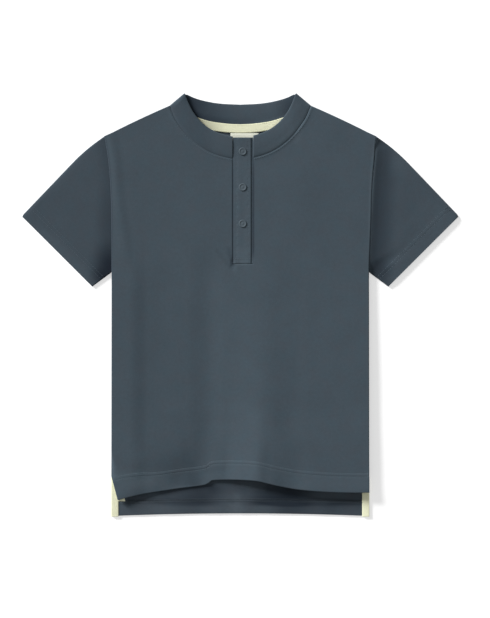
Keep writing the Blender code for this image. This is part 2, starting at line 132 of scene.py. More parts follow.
# Soft folds of the front. Each runs from one end to the other, rises by the rise at that end,
# and falls away over its reach to the left and to the right. In mm.
FRONT_FOLDS = (  # x0, y0, rise0, x1, y1, rise1, reach left, reach right
    (34.0, -60.0, 0.3, 20.0, -232.0, 2.3, 44.0, 58.0),
    (27.0, -110.0, 0.1, 20.0, -232.0, 0.8, 17.0, 14.0),
    (56.0, -185.0, -0.2, 56.0, -232.0, -0.9, 18.0, 30.0),
    (-42.0, 30.0, -0.55, -42.0, -190.0, -0.9, 24.0, 22.0),
    (-50.0, -150.0, -0.7, -50.0, -226.0, -3.4, 58.0, 66.0),
    (-50.0, -165.0, -0.2, -49.0, -226.0, -0.6, 24.0, 18.0),
    (60.0, 10.0, -0.35, 60.0, -150.0, -0.6, 24.0, 26.0),
    (-10.0, 47.0, -0.9, -30.0, 70.0, -0.1, 5.0, 4.0),
    (-9.6, 56.0, -0.4, -9.6, 48.0, -1.0, 3.6, 3.6),
)
# Soft patches of shade in the cloth. A depth of 1 is full shade, and one below 0 is light.
FRONT_TINTS = (  # x0, y0, depth0, x1, y1, depth1, reach left, reach right
    (-88.0, -140.0, 0.02, -74.0, -208.0, 0.12, 34.0, 22.0),
    (-22.0, 25.0, -0.05, -22.0, -120.0, -0.05, 14.0, 18.0),
    (8.0, -150.0, 0.05, 6.0, -215.0, 0.22, 26.0, 20.0),
    (-45.0, -206.0, 0.18, -20.0, -204.0, 0.18, 9.0, 9.0),
    (60.0, -165.0, 0.05, 60.0, -205.0, 0.12, 16.0, 18.0),
    (-127.0, 30.0, 0.04, -127.0, -150.0, 0.05, 17.0, 15.0),
    (-68.0, 110.0, -0.05, -66.0, 10.0, -0.06, 28.0, 22.0),
    (-71.0, -150.0, 0.08, -69.0, -196.0, 0.15, 11.0, 10.0),
    (68.0, 20.0, 0.06, 66.0, -112.0, 0.09, 14.0, 14.0),
    (-150.0, -217.0, -0.3, -96.0, -219.0, -0.25, 15.0, 18.0),
    (-129.0, -185.0, -0.1, -129.0, -226.0, -0.15, 16.0, 14.0),
    (-60.0, -198.0, 0.1, -57.0, -226.0, 0.32, 17.0, 15.0),
    (70.0, 205.0, -0.2, 76.0, 240.0, -0.3, 5.0, 8.0),
    (8.0, 196.0, -0.14, 8.0, 62.0, -0.24, 8.0, 7.0),
    (3.0, 68.0, -0.2, 3.0, 51.0, -0.42, 12.0, 12.0),
    (-14.0, 69.0, 0.3, -9.8, 47.0, 0.5, 6.0, 4.5),
)
BACK_TINTS = (  # in the same columns
    (-87.0, -228.0, 0.45, -87.0, -249.0, 0.65, 38.0, 36.0),
    (-50.0, -228.0, 1.0, -50.0, -249.0, 1.0, 40.0, 42.0),
    (-34.0, -229.0, 0.45, 4.0, -229.0, 0.45, 10.0, 14.0),
    (3.0, -225.0, -0.45, 28.0, -230.0, -0.5, 6.0, 9.0),
    (-116.0, -235.0, -0.4, -100.0, -240.0, -0.35, 5.0, 6.0),
    (-4.0, -238.0, -0.3, -4.0, -248.0, -0.3, 8.0, 8.0),
    (47.0, -243.0, 0.35, 70.0, -243.0, 0.35, 4.0, 5.0),
    (22.0, -228.0, 0.4, 22.0, -249.0, 0.55, 30.0, 30.0),
    (60.0, -228.0, 0.95, 60.0, -249.0, 1.8, 60.0, 48.0),
    (118.0, -230.0, -0.8, 118.0, -249.0, 0.85, 50.0, 70.0),
    (-104.0, -251.0, -0.15, -104.0, -262.0, -0.15, 26.0, 16.0),
    (-58.0, -251.0, 0.36, -58.0, -262.0, 0.34, 34.0, 28.0),
    (-5.0, -251.0, -0.4, -5.0, -262.0, -0.35, 18.0, 14.0),
    (60.0, -251.0, 0.85, 60.0, -262.0, 0.75, 36.0, 70.0),
    (118.0, -251.0, 0.45, 118.0, -262.0, 0.35, 34.0, 60.0),
)
SLEEVE_FOLDS = (  # in the columns of the front's folds
    (178.0, 60.0, 0.1, 232.0, 118.0, 0.15, 12.0, 16.0),
    (174.0, 50.0, -0.6, 205.0, 66.0, -0.1, 9.0, 9.0),
)

# Placket and snaps.
PLACKET_BOTTOM_Y = 50.9 * MM
PLACKET_TOP_Y = 208.4 * MM
TOP_STRIP_X = (-9.3 * MM, 13.4 * MM)
UNDER_STRIP_X = (-4.4 * MM, 16.1 * MM)
SLOT_X = (-9.5 * MM, 16.3 * MM)
SLOT_BOTTOM_Y = 50.6 * MM
STRIP_PROUD = 0.35 * MM  # how far the upper strip's loose side stands above the front
STRIP_GAP = 0.1 * MM
TOP_STRIP_ROWS = (-4.2 * MM, 9.8 * MM)
SNAP_X = 3.0 * MM
SNAP_HEIGHTS = {"snap_upper": 191.0 * MM, "snap_middle": 146.4 * MM, "snap_lower": 100.9 * MM}
SNAP_RADIUS = 4.8 * MM
SNAP_SINKS = 0.3 * MM  # into the strip

# Hems and rows of stitches, measured in from the edge.
FRONT_HEM_ROWS = (19.6 * MM, 23.8 * MM)
FRONT_HEM_THREAD = 0.5 * MM
LEFT_ROWS_RISE = 5.5 * MM  # how much further in the front's rows run at the hem's left end
ROW_SHADE = 0.9 * MM  # how wide the cloth beside a row of a hem changes its shade
SEAM_ROW = 2.3 * MM  # beside the collar's seam
SLEEVE_HEM_ROWS = (14.4 * MM, 18.7 * MM)
BACK_HEM_ROWS = (14.6 * MM, 18.8 * MM)
# Where the grids of the cloth lie close, measured in from the edge, so that the rows show in them.
FRONT_HEM_GRID = (
    np.array(
        (7, 10, 13, 15.5, 17.4, 18.5, 19.1, 19.6, 20.1, 20.8, 21.7, 22.6, 23.3, 23.8, 24.3, 25, 26.2, 28)
    )
    * MM
)
BACK_HEM_GRID = np.array((8, 10.5, 12.5, 13.6, 14.6, 15.6, 16.7, 17.8, 18.8, 19.8, 21, 23)) * MM
CUFF_GRID = (
    np.array((0, 0.4, 1, 2, 3.5, 6, 9, 11.5, 12.9, 13.7, 14.4, 15.1, 16, 17, 18, 18.7, 19.4, 20.6, 23)) * MM
)
FRONT_GRID = (2.45 * MM, 2.6 * MM)  # pitch of the rest of the grid, across and along
BACK_GRID = 4.0 * MM
STITCH_LENGTH = 2.5 * MM
STITCH_PITCH = 3.1 * MM
PUCKER = 0.06 * MM  # height of the small gathers along a row, and their waves' lengths and starts
PUCKER_WAVES = ((0.9 * MM, 0.0), (1.7 * MM, 1.3), (4.1 * MM, 0.0))

# Tapes and label.
NECK_TAPE_WIDTH = 11.0 * MM
NECK_TAPE_HALF = 62.0 * MM
NECK_TAPE_LIFT = 1.45 * MM
LABEL_X = (-12.1 * MM, 22.8 * MM)
LABEL_LENGTH = 24.0 * MM
LABEL_THICKNESS = 0.6 * MM
VENT_TAPE_WIDTH = 9.0 * MM
VENT_TAPE_TOP_Y = -216.0 * MM
VENT_TAPE_LIFT = 1.55 * MM  # of those on the back
LEFT_TAPE_SHOWS = 1.4 * MM

# Sleeve, right side.
SLEEVE_TOP = np.array(
    (
        (169.8, 210.1), (182.6, 200.9), (192.0, 193.4), (200.4, 185.9), (208.0, 178.5),
        (240.2, 144.9), (273.1, 110.4),
    )
) * MM
CUFF_CORNER = (184.9 * MM, 22.3 * MM)
TUCK = 1.6 * MM  # how far the sleeve reaches in under the front's edge
LAYER_GAP = 0.06 * MM  # between its two layers at its folds

# Colours, linear.
SLATE = (0.0382, 0.0550, 0.0698)
# The sleeves' jersey is the body's made darker: painted shade for how the sleeves' grain takes the light.
SLATE_SLEEVE_SHADED = (0.0337, 0.0483, 0.0620)
SLATE_INSIDE = (0.0387, 0.0516, 0.0648)
SLATE_THREAD = (0.075, 0.104, 0.127)
THREAD_IN_SHADE = 0.35
CREAM = (0.75, 0.755, 0.545)
LABEL_CREAM = (0.66, 0.67, 0.565)
SNAP_SLATE = (0.056, 0.076, 0.092)
HEATHER = ((0.95, 1.02, 1.03), (1.05, 0.98, 0.97))  # the coolest and the warmest of its yarns
FULL_SHADE = (0.68, 0.62, 0.555)  # share of red, green and blue that full shade takes


# ---------------------------------------------------------------------------------------------
# Curves and steps


def ramp(low, high, value):
    """Smooth step from 0 at low to 1 at high, on numbers or arrays."""
    share = np.clip((np.asarray(value, float) - low) / (high - low), 0.0, 1.0)
    return share * share * (3.0 - 2.0 * share)


def mm_ramp(low, high, value):
    """The same step between two lengths in mm."""
    return ramp(low * MM, high * MM, value)


def bell(distance, width):
    """Smooth bump, 1 at no distance."""
    return np.exp(-((distance / width) ** 2))


def at_rows(rows, distance, width):
    """Sum of the bumps on each of some parallel rows."""
    return sum(bell(distance - row, width) for row in rows)


def between(first, second, share):
    """The first value at a share of 0, the second at 1."""
    return first + (second - first) * share


def spot(x, y, centre, outer, inner):
    """Round soft spot, 1 inside its inner radius. Its centre and radii are in mm."""
    return mm_ramp(outer, inner, np.hypot(x - centre[0] * MM, y - centre[1] * MM))


def smooth_line(points, steps=6):
    """Catmull-Rom curve through points."""
    points = np.asarray(points, float)
    ends = np.vstack([2.0 * points[:1] - points[1:2], points, 2.0 * points[-1:] - points[-2:-1]])
    line = []
    for index in range(len(points) - 1):
        before, start, end, after = ends[index : index + 4]
        for step in range(steps):
            t = step / steps
            line.append(
                0.5
                * (
                    2.0 * start
                    + (end - before) * t
                    + (2.0 * before - 5.0 * start + 4.0 * end - after) * t**2
                    + (3.0 * start - before - 3.0 * end + after) * t**3
                )
            )
    line.append(points[-1])
    return np.array(line)


def lengths_of(line):
    """Length along a line up to each of its points."""
    return np.concatenate([[0.0], np.cumsum(np.linalg.norm(np.diff(line, axis=0), axis=1))])


def at_lengths(line, wanted):
    """Points of a line at given lengths along it."""
    lengths = lengths_of(line)
    return np.column_stack([np.interp(wanted, lengths, line[:, k]) for k in range(line.shape[1])])


def along(line, count):
    """Evenly spaced points of a line."""
    return at_lengths(line, np.linspace(0.0, lengths_of(line)[-1], count))


def offset(line, distance):
    """A line moved to its left by a distance, in plan."""
    run = np.gradient(line[:, :2], axis=0)
    run /= np.linalg.norm(run, axis=1)[:, None]
    moved = line.copy()
    moved[:, 0] -= run[:, 1] * distance
    moved[:, 1] += run[:, 0] * distance
    return moved


def mirrored(line):
    """A line of the right half, on the left half."""
    return line * np.array([-1.0] + [1.0] * (line.shape[1] - 1))


def distance_to(line, x, y):
    """Distance from places to a line of straight runs."""
    x, y = np.asarray(x, float), np.asarray(y, float)
    nearest = np.full(np.broadcast(x, y).shape, np.inf)
    for (x0, y0), (x1, y1) in zip(line[:-1, :2], line[1:, :2]):
        dx, dy = x1 - x0, y1 - y0
        share = np.clip(((x - x0) * dx + (y - y0) * dy) / max(dx * dx + dy * dy, 1e-12), 0.0, 1.0)
        nearest = np.minimum(nearest, np.hypot(x - x0 - share * dx, y - y0 - share * dy))
    return nearest


def armhole_x(y):
    """Where the armhole's seam runs: straight up, and flared towards the shoulder."""
    share = np.clip((y - UNDERARM[1]) / (SHOULDER_TIP[1] - UNDERARM[1]), 0.0, 1.0)
    return UNDERARM[0] + ARMHOLE_FLARE * share**4


def armhole(count=18):
    """The right armhole, from the underarm up."""
    y = np.linspace(UNDERARM[1], SHOULDER_TIP[1], count)
    return np.column_stack([armhole_x(y), y])


def shoulder(count=9):
    """The right shoulder seam, from its tip to the neck."""
    out = (SHOULDER_TIP[0] - NECK_JOINT[0]) * np.linspace(1.0, 0.0, count)
    drop = SHOULDER_SLOPE * out + SHOULDER_DROP * out**2
    return np.column_stack([NECK_JOINT[0] + out, NECK_JOINT[1] - drop])


SIDE = np.vstack([[(HALF_CHEST, VENT_TOP_Y)], armhole(), shoulder()[1:]])
ARMHOLE = armhole()
FRONT_SEAM_LINE = smooth_line(FRONT_SEAM)
FRONT_EDGE_LINE = smooth_line(FRONT_EDGE)
BACK_SEAM_LINE = smooth_line(BACK_SEAM)
BACK_EDGE_LINE = smooth_line(BACK_EDGE)
HEM_LINE = smooth_line(FRONT_HEM)


def from_side(x, y):
    """Distance from the side seam, armhole or shoulder on the same side of the shirt."""
    return distance_to(SIDE, np.abs(x), y)


def hem_y(x):
    """Where the front's hem lies."""
    return np.interp(x, HEM_LINE[:, 0], HEM_LINE[:, 1])


def hem_fold_y(x):
    """Line from which the front hem's rows of stitches are measured: the hem's, but for its left end."""
    return hem_y(x) + LEFT_ROWS_RISE * mm_ramp(-95.0, -155.0, x)


def back_hem_y(x):
    """Where the back's hem lies: a low arch."""
    return BACK_HEM_Y + BACK_HEM_ARCH * (1.0 - (x / HALF_CHEST) ** 2)


# ---------------------------------------------------------------------------------------------
# Heights and shades


def fold_and_shade_humps(table, x, y):
    """Sum of soft humps, for the height of folds and for patches of painted shade: a smooth hump across
    each line, that fades in and out along it.
    """
    total = np.zeros(np.broadcast(x, y).shape)
    for row in table:
        x0, y0, rise0, x1, y1, rise1, left, right = (value * MM for value in row)
        dx, dy = x1 - x0, y1 - y0
        length = math.hypot(dx, dy)
        share = ((x - x0) * dx + (y - y0) * dy) / length**2
        across = ((x - x0) * dy - (y - y0) * dx) / length
        if dy < 0.0:
            across = -across
        reach = np.where(across < 0.0, left, right)
        hump = ramp(1.0, 0.0, np.abs(across) / reach)
        rise = between(rise0, rise1, np.clip(share, 0.0, 1.0) ** 1.5)
        fade = ramp(-0.28, 0.04, share) * ramp(1.22, 0.98, share)
        total += rise * hump * fade
    return total


def back_under(x, y):
    """Height of the back's underside: flat but for its sewn edges."""
    above_vent = ramp(VENT_TOP_Y, VENT_TOP_Y + 8.0 * MM, y)
    return BACK_CURL * above_vent * mm_ramp(4.0, 0.0, from_side(x, y))


def quarter_round(share):
    """From 0, steeply at first, to 1, level at last."""
    return np.sqrt(1.0 - (1.0 - np.clip(share, 0.0, 1.0)) ** 2)


def front_relief(x, y):
    """Rises and humps of the front, away from its sewn edges."""
    at_chest = mm_ramp(10.0, 110.0, y)
    at_belly = mm_ramp(100.0, -130.0, y)
    at_crest = mm_ramp(-150.0, -204.0, y)
    below_belly = mm_ramp(-90.0, -130.0, y)
    low = (-42.0 + 6.0 * (at_chest + below_belly) + 15.0 * at_crest) * MM
    high = (38.0 + 42.0 * at_chest + 4.0 * below_belly - 13.0 * at_crest) * MM
    height = (CHEST_STEP + BELLY_STEP * at_belly) * ramp(0.0, 1.0, (x - low) / (high - low))
    ridge = LEFT_RIDGE * (1.0 - 0.85 * mm_ramp(10.0, 95.0, y))
    height += ridge * (0.6 * mm_ramp(-116.0, -138.0, x) + 0.4 * mm_ramp(-90.0, -132.0, x))
    height += 1.5 * MM * mm_ramp(-120.0, -200.0, y)
    curl = 0.3 + 0.9 * (mm_ramp(-95.0, -125.0, x) + mm_ramp(62.0, 92.0, x))
    height += curl * MM * mm_ramp(22.0, 1.0, y - hem_y(x))
    height -= 0.5 * MM * mm_ramp(46.0, 2.0, distance_to(FRONT_SEAM_LINE, np.abs(x), y))
    left_armhole = distance_to(ARMHOLE, -x, y)
    rim = (8.0 + 10.0 * mm_ramp(150.0, 50.0, y)) * MM
    hump = ramp(0.0, rim, left_armhole) * ramp(rim + 11.0 * MM, rim, left_armhole)
    height += 0.55 * MM * hump * mm_ramp(32.0, 80.0, y)
    inside = mm_ramp(2.0, 34.0, HALF_CHEST - np.abs(x))
    return height + fold_and_shade_humps(FRONT_FOLDS, x, y) * inside


def hem_drop(x, y):
    """How much lower the front lies at the left part of its hem, down on the back."""
    along_hem = mm_ramp(-152.0, -114.0, x) * mm_ramp(-40.0, -80.0, x)
    return HEM_DROP * along_hem * mm_ramp(50.0, 3.0, y - hem_y(x))


def front_form(x, y):
    """Height of the front's underside away from its sewn edges."""
    above = PLATEAU_LIFT + RELIEF_SHARE * front_relief(x, y) - hem_drop(x, y) - LOWEST_LIFT
    return LOWEST_LIFT + (above + np.hypot(above, 0.5 * MM)) / 2.0


LIT_FROM = np.array((-2.58, 2.18))  # how a slope along x and along y darkens cloth


def front_shade(x, y, step=0.5 * MM):
    """Shading of the relief that the front's own height leaves out, and its patches of shade."""

    def left_out(x, y):
        return front_relief(x, y) - hem_drop(x, y) - front_form(x, y)

    slope_x = (left_out(x + step, y) - left_out(x - step, y)) / (2.0 * step)
    slope_y = (left_out(x, y + step) - left_out(x, y - step)) / (2.0 * step)
    return LIT_FROM[0] * slope_x + LIT_FROM[1] * slope_y + fold_and_shade_humps(FRONT_TINTS, x, y) / MM


def slot_shade(x, y):
    """Shade along the placket's two seams, and the thread that shows pale along its rows."""
    on_placket = ramp(SLOT_BOTTOM_Y - 1.5 * MM, SLOT_BOTTOM_Y + 0.5 * MM, y)
    on_placket = on_placket * (1.0 - 0.6 * mm_ramp(155.0, 190.0, y))
    left = bell(x - SLOT_X[0], 1.1 * MM)
    right = bell(x - SLOT_X[1], 1.2 * MM) * ramp(SLOT_BOTTOM_Y, SLOT_BOTTOM_Y + 20.0 * MM, y)
    pale = at_rows(TOP_STRIP_ROWS, x, 0.8 * MM)
    return (0.85 * left + 0.95 * right - 0.16 * pale) * on_placket


def front_edge(x, y):
    """Height of the underside at the nearest sewn edge, and how far in the front still rises."""
    right = mm_ramp(-1.0, 1.0, x)
    at_armhole = mm_ramp(9.0, 5.0, distance_to(ARMHOLE, np.abs(x), y))
    at_vent = ramp(-184.0 * MM, VENT_TOP_Y, y)
    at_ends = 1.3 * mm_ramp(182.0, 206.0, y) + 0.7 * mm_ramp(66.0, 44.0, y)
    armhole_lift = between(*ARMHOLE_SEAM_LIFTS, right) - right * at_ends * MM
    height = between(between(SIDE_SEAM_LIFT, armhole_lift, at_armhole), VENT_LIFT, at_vent)
    return height, between(between(*PRESSED_EDGES, right), OPEN_EDGE, at_vent * (1.0 - right))


def front_under(x, y, skin=0.5 * MM):
    """Height of the front's underside, a wall's thickness inside its pressed edges."""
    x, y = np.asarray(x, float), np.asarray(y, float)
    low, reach = front_edge(x, y)
    return between(low, front_form(x, y), quarter_round((from_side(x, y) - skin) / reach))


def pucker(distance, run):
    """Small uneven gathers beside a row of stitches, by distance from it and place along it."""
    short, middling, long = (np.sin(run / wave + turn) for wave, turn in PUCKER_WAVES)
    return PUCKER * (short + 0.6 * middling + 0.5 * long) * bell(distance, 2.0 * MM)


def dent(distance, depth=0.16 * MM, width=0.75 * MM):
    """Dip in which a row of stitches lies."""
    return -depth * bell(distance, width)


def stitched(rows, distance, run):
    """Relief of a hem's rows of stitches, at distances from the hem's edge."""
    relief = np.zeros(np.shape(distance))
    for row in rows:
        relief += dent(distance - row) + pucker(distance - row, run)
    middle = sum(rows) / len(rows)
    return relief + 0.08 * MM * bell(distance - middle, 1.1 * MM)


def seam_ridge(distance):
    """Relief beside a seam: a low dip at the seam, then the ridge of its allowance."""
    return 0.2 * MM * bell(distance - SEAM_ROW, 1.4 * MM) - 0.15 * MM * bell(distance, 0.7 * MM)


def front_top(x, y):
    """Height of the front's outer face."""
    x, y = np.asarray(x, float), np.asarray(y, float)
    above_hem = y - hem_fold_y(x)
    neck = distance_to(FRONT_SEAM_LINE, np.abs(x), y)
    relief = stitched(FRONT_HEM_ROWS, above_hem, x) + seam_ridge(neck)
    relief += 0.12 * MM * mm_ramp(26.0, 23.0, above_hem)
    low, reach = front_edge(x, y)
    rise = quarter_round((from_side(x, y) + 0.2 * MM) / reach)
    return between(low, front_form(x, y) + JERSEY, rise) + relief


def strip_level(x, y):
    """Level of the front's underside, carried on up the placket under the collar."""
    seam_y = FRONT_SEAM[0][1]
    share = np.clip((y - seam_y) / (PLACKET_TOP_Y - seam_y), 0.0, 1.0)
    return between(front_under(x, np.minimum(y, seam_y)), COLLAR_TOP_LIFT, share)


def top_strip(x, y):
    """Underside of the upper strip: its seam is level with the front, and the rest a little proud."""
    climb = ramp(TOP_STRIP_X[0] + 0.3 * MM, 2.0 * MM, x)
    climb = climb * ramp(PLACKET_BOTTOM_Y, PLACKET_BOTTOM_Y + 14.0 * MM, y)
    return strip_level(x, y) + (JERSEY - STRIP) + STRIP_PROUD * climb


def under_strip(x, y):
    """Underside of the lower strip: under the upper one, and level with the front at its seam."""
    covered = top_strip(np.minimum(x, TOP_STRIP_X[1]), y) - STRIP - STRIP_GAP
    seam = strip_level(x, y) + (JERSEY - STRIP) - STRIP_GAP
    return between(covered, seam, ramp(TOP_STRIP_X[1] - 1.0 * MM, UNDER_STRIP_X[1], x))


def strip_relief(x, y, sides, rows):
    """Crown of a pressed strip, with a dip along each of its rows of stitches."""
    middle = (sides[0] + sides[1]) / 2.0
    half = (sides[1] - sides[0]) / 2.0
    crown = 0.08 * MM * (1.0 - ((x - middle) / half) ** 4)
    for row in rows:
        crown += dent(x - row, 0.1 * MM, 0.7 * MM) + pucker(x - row, y)
    return crown


def top_strip_face(x, y):
    """Outer face of the upper strip."""
    return top_strip(x, y) + STRIP + strip_relief(x, y, TOP_STRIP_X, TOP_STRIP_ROWS)


def armhole_pull(x, y):
    """How far the cloth near the right armhole is pulled out over the sleeve."""
    reach = ramp(UNDERARM[1] - 4.0 * MM, 120.0 * MM, y) * ramp(SHOULDER_TIP[1] + 1.0 * MM, 176.0 * MM, y)
    return RIGHT_ARMHOLE_PULL * reach * mm_ramp(110.0, 161.0, x)


def past_seam(x, y, side):
    """How far out from the front's edge a place on a sleeve lies."""
    pulled = armhole_pull(SHOULDER_TIP[0], y) if side > 0.0 else 0.0
    return x - armhole_x(y) - pulled


def sleeve_top(x, y, side):
    """Outer face of a sleeve's upper layer, at places on the right sleeve."""
    out = past_seam(x, y, side)
    height = SLEEVE_TOP_LOWEST + (0.9 if side > 0.0 else 0.2) * MM * mm_ramp(4.0, 40.0, out)
    height -= 0.3 * MM * mm_ramp(48.0, 14.0, cuff_distance(x, y))
    if side > 0.0:
        fall = np.exp(-np.maximum(out, 0.0) / RIGHT_SLEEVE_FALL) * mm_ramp(-0.5, 0.4, out)
        ends = ramp(UNDERARM[1] - 3.0 * MM, UNDERARM[1] + 16.0 * MM, y)
        ends *= ramp(SHOULDER_TIP[1] - 1.0 * MM, SHOULDER_TIP[1] - 20.0 * MM, y)
        height += RIGHT_SLEEVE_LIFT * fall * ends
    height = height + fold_and_shade_humps(SLEEVE_FOLDS, x, y) * mm_ramp(0.0, 9.0, out)
    return np.maximum(height, SLEEVE_TOP_LOWEST)


def sleeve_shade(x, y, side):
    """Painted shade of the sleeve's cloth: near its armhole, and most at the underarm. Below 0 it is
    painted light.
    """
    out = past_seam(x, y, side)
    if side > 0.0:
        near = 0.66 * mm_ramp(-3.0, 8.0, out) * mm_ramp(38.0, 13.0, out)
        near *= 1.0 - 0.25 * mm_ramp(150.0, 205.0, y)
        near -= 1.5 * mm_ramp(4.0, 0.0, out) * (0.2 + 0.8 * mm_ramp(100.0, 150.0, y))
        near -= 0.6 * mm_ramp(12.0, 0.0, out) * mm_ramp(192.0, 207.0, y)
        near -= 0.3 * mm_ramp(15.0, 26.0, out) * mm_ramp(150.0, 185.0, y)
        near -= 0.12 * spot(x, y, (254.0, 107.0), 36.0, 10.0)
        near += 0.35 * spot(x, y, (176.0, 43.0), 18.0, 4.0)
        return near - 0.1 * mm_ramp(52.0, 26.0, cuff_distance(x, y))
    pocket = np.hypot(x - UNDERARM[0] - 5.0 * MM, (y - UNDERARM[1] - 3.0 * MM) / 1.4)
    low_down = mm_ramp(175.0, 95.0, y)
    near = (0.34 + 0.26 * low_down) * ramp((17.0 + 10.0 * low_down) * MM, 2.0 * MM, out)
    near += 0.1 * spot(x, y, (242.0, 133.0), 30.0, 8.0)
    near -= 0.25 * mm_ramp(17.0, 5.0, cuff_distance(x, y)) * mm_ramp(110.0, 85.0, y)
    near += 0.3 * spot(x, y, (179.0, 34.0), 15.0, 4.0)
    return near + 0.9 * mm_ramp(31.0, 4.0, pocket)


def cuff_distance(x, y):
    """Distance in from the cuff's line."""
    (x0, y0), (x1, y1) = CUFF_CORNER, SLEEVE_TOP[-1]
    length = math.hypot(x1 - x0, y1 - y0)
    return -((x - x0) * (y1 - y0) - (y - y0) * (x1 - x0)) / length


# ---------------------------------------------------------------------------------------------
# Meshes


def in_scene(name, data):
    """A new object of the scene."""
    thing = bpy.data.objects.new(name, data)
    bpy.context.scene.collection.objects.link(thing)
    return thing


def link(name, mesh, *materials):
    """Puts a finished mesh in the scene, smooth, on its materials."""
    for material in materials:
        mesh.materials.append(material)
    mesh.shade_smooth()
    return in_scene(name, mesh)


def set_cloth(mesh, u, v, shade=None):
    """Gives each point its place in the cloth, in metres, and its painted shade."""
    cloth = mesh.attributes.new("cloth", "FLOAT_VECTOR", "POINT")
    cloth.data.foreach_set("vector", np.column_stack([u, v, np.zeros(len(u))]).astype(np.float32).ravel())
    painted_shade = mesh.attributes.new("shade", "FLOAT", "POINT")
    painted_shade.data.foreach_set("value", np.asarray(np.zeros(len(u)) if shade is None else shade, np.float32))


def points_of(mesh):
    """Coordinates of a mesh's points, along x, along y and along z."""
    co = np.zeros(3 * len(mesh.vertices), np.float32)
    mesh.vertices.foreach_get("co", co)
    return co.reshape(-1, 3).T.astype(float)


def move_points(mesh, x, y, z):
    """Puts a mesh's points in new places."""
    mesh.vertices.foreach_set("co", np.column_stack([x, y, z]).astype(np.float32).ravel())
    mesh.update()


RIM = tuple(ring * MM for ring in (0.12, 0.35, 0.7, 1.2, 1.9, 2.8, 4.0))  # rings along a panel's edge
EDGE_ROUND = 0.65 * MM  # how far in from its edge a panel is rounded


def cut_mesh(outline, x_lines, y_lines):
    """Cloth cut to an outline, as two flat layers joined at the rim, at z 0 and 1.

    Rings follow the outline, and a grid at the given lines divides what is inside them.
    """
    cloth = bmesh.new()
    in_from_edge = cloth.verts.layers.float.new("in_from_edge")
    middle = cloth.faces.new([cloth.verts.new((x, y, 0.0)) for x, y in outline])
    middle.normal_update()
    if middle.normal.z < 0.0:
        middle.normal_flip()
    reached = 0.0
    for ring in RIM:
        bmesh.ops.inset_individual(cloth, faces=[middle], thickness=ring - reached, use_even_offset=True)
        for vert in middle.verts:
            vert[in_from_edge] = ring
        reached = ring
    beyond = [middle]
    for axis, lines in ((0, x_lines), (1, y_lines)):
        done = []
        normal = (1.0, 0.0, 0.0) if axis == 0 else (0.0, 1.0, 0.0)
        for line in lines:
            if not beyond:
                break
            edges = {edge for face in beyond for edge in face.edges}
            verts = {vert for face in beyond for vert in face.verts}
            cut = bmesh.ops.bisect_plane(
                cloth,
                geom=[*verts, *edges, *beyond],
                dist=0.02 * MM,
                plane_co=(line, 0.0, 0.0) if axis == 0 else (0.0, line, 0.0),
                plane_no=normal,
            )
            faces = [part for part in cut["geom"] if isinstance(part, bmesh.types.BMFace)]
            beyond = [face for face in faces if face.calc_center_median()[axis] > line]
            done += [face for face in faces if face.calc_center_median()[axis] <= line]
        beyond += done
    bmesh.ops.triangulate(cloth, faces=[face for face in cloth.faces if len(face.verts) > 4])
    layer = bmesh.ops.extrude_face_region(cloth, geom=cloth.faces[:], use_keep_orig=True)
    for part in layer["geom"]:
        if isinstance(part, bmesh.types.BMVert):
            part.co.z = 1.0
    bmesh.ops.recalc_face_normals(cloth, faces=cloth.faces[:])
    mesh = bpy.data.meshes.new("cut")
    cloth.to_mesh(mesh)
    cloth.free()
    return mesh


def finer(outline, pitch=4.0 * MM):
    """A closed outline with points added along its long straight runs."""
    points = []
    for start, end in zip(outline, np.roll(outline, -1, axis=0)):
        count = max(1, round(float(np.linalg.norm(end - start)) / pitch))
        points += [start + (end - start) * step / count for step in range(count)]
    return points


def panel(name, outline, x_lines, y_lines, under, over, shade, material, warp=None):
    """A cut piece of cloth: its plan bent by warp, between its two faces, with round edges."""
    mesh = cut_mesh(finer(outline), x_lines, y_lines)
    cut_x, cut_y, on_top = points_of(mesh)
    edge = np.zeros(len(cut_x), np.float32)
    mesh.attributes["in_from_edge"].data.foreach_get("value", edge)
    edge = np.where(inside_rim(outline, cut_x, cut_y, edge), edge, RIM[-1])
    x, y = (cut_x, cut_y) if warp is None else warp(cut_x, cut_y)
    low, high = under(cut_x, y), over(cut_x, y)
    half = (high - low) / 2.0
    turn = np.minimum(half, EDGE_ROUND)
    bulge = np.sqrt(np.clip(1.0 - (1.0 - np.clip(edge / turn, 0.0, 1.0)) ** 2, 0.02, 1.0))
    z = (low + high) / 2.0 + half * bulge * np.where(on_top > 0.5, 1.0, -1.0)
    mesh.attributes.remove(mesh.attributes["in_from_edge"])
    set_cloth(mesh, cut_x, cut_y, shade(x, y))
    move_points(mesh, x, y, z)
    return link(name, mesh, material)


def inside_rim(outline, x, y, edge):
    """True for points whose stored distance from the edge is to be trusted: those of the rim."""
    closed = np.vstack([outline, outline[:1]])
    return (edge < RIM[-1] * 0.999) & (distance_to(closed, x, y) < RIM[-1])


def loft(name, sections, cloth_u, cloth_v, thickness, bevel, material, shade=None, closed=False):
    """A wall of cloth about a grid of sections, each with the same number of points."""
    rows, columns, _ = sections.shape
    index = np.arange(rows * columns).reshape(rows, columns)
    beside = np.roll(index, -1, axis=1) if closed else index[:, 1:]
    here = index if closed else index[:, :-1]
    faces = np.stack([here[:-1], beside[:-1], beside[1:], here[1:]], axis=-1).reshape(-1, 4)
    mesh = bpy.data.meshes.new(name)
    mesh.from_pydata(sections.reshape(-1, 3).tolist(), [], faces.tolist())
    set_cloth(mesh, cloth_u.ravel(), cloth_v.ravel(), None if shade is None else shade.ravel())
    thing = link(name, mesh, material)
    wall = thing.modifiers.new("Wall", "SOLIDIFY")
    wall.thickness = thickness
    wall.offset = 0.0
    edge = thing.modifiers.new("Edge", "BEVEL")
    edge.width = bevel
    edge.segments = 3
    edge.limit_method = "ANGLE"
    edge.angle_limit = math.radians(55.0)
    edge.use_clamp_overlap = True
    return thing


def spaced(low, high, step):
    """Even steps from low to high, both ends included, of about the given size."""
    count = max(2, round((high - low) / step) + 1)
    return np.linspace(low, high, count)


# ---------------------------------------------------------------------------------------------
# Nodes


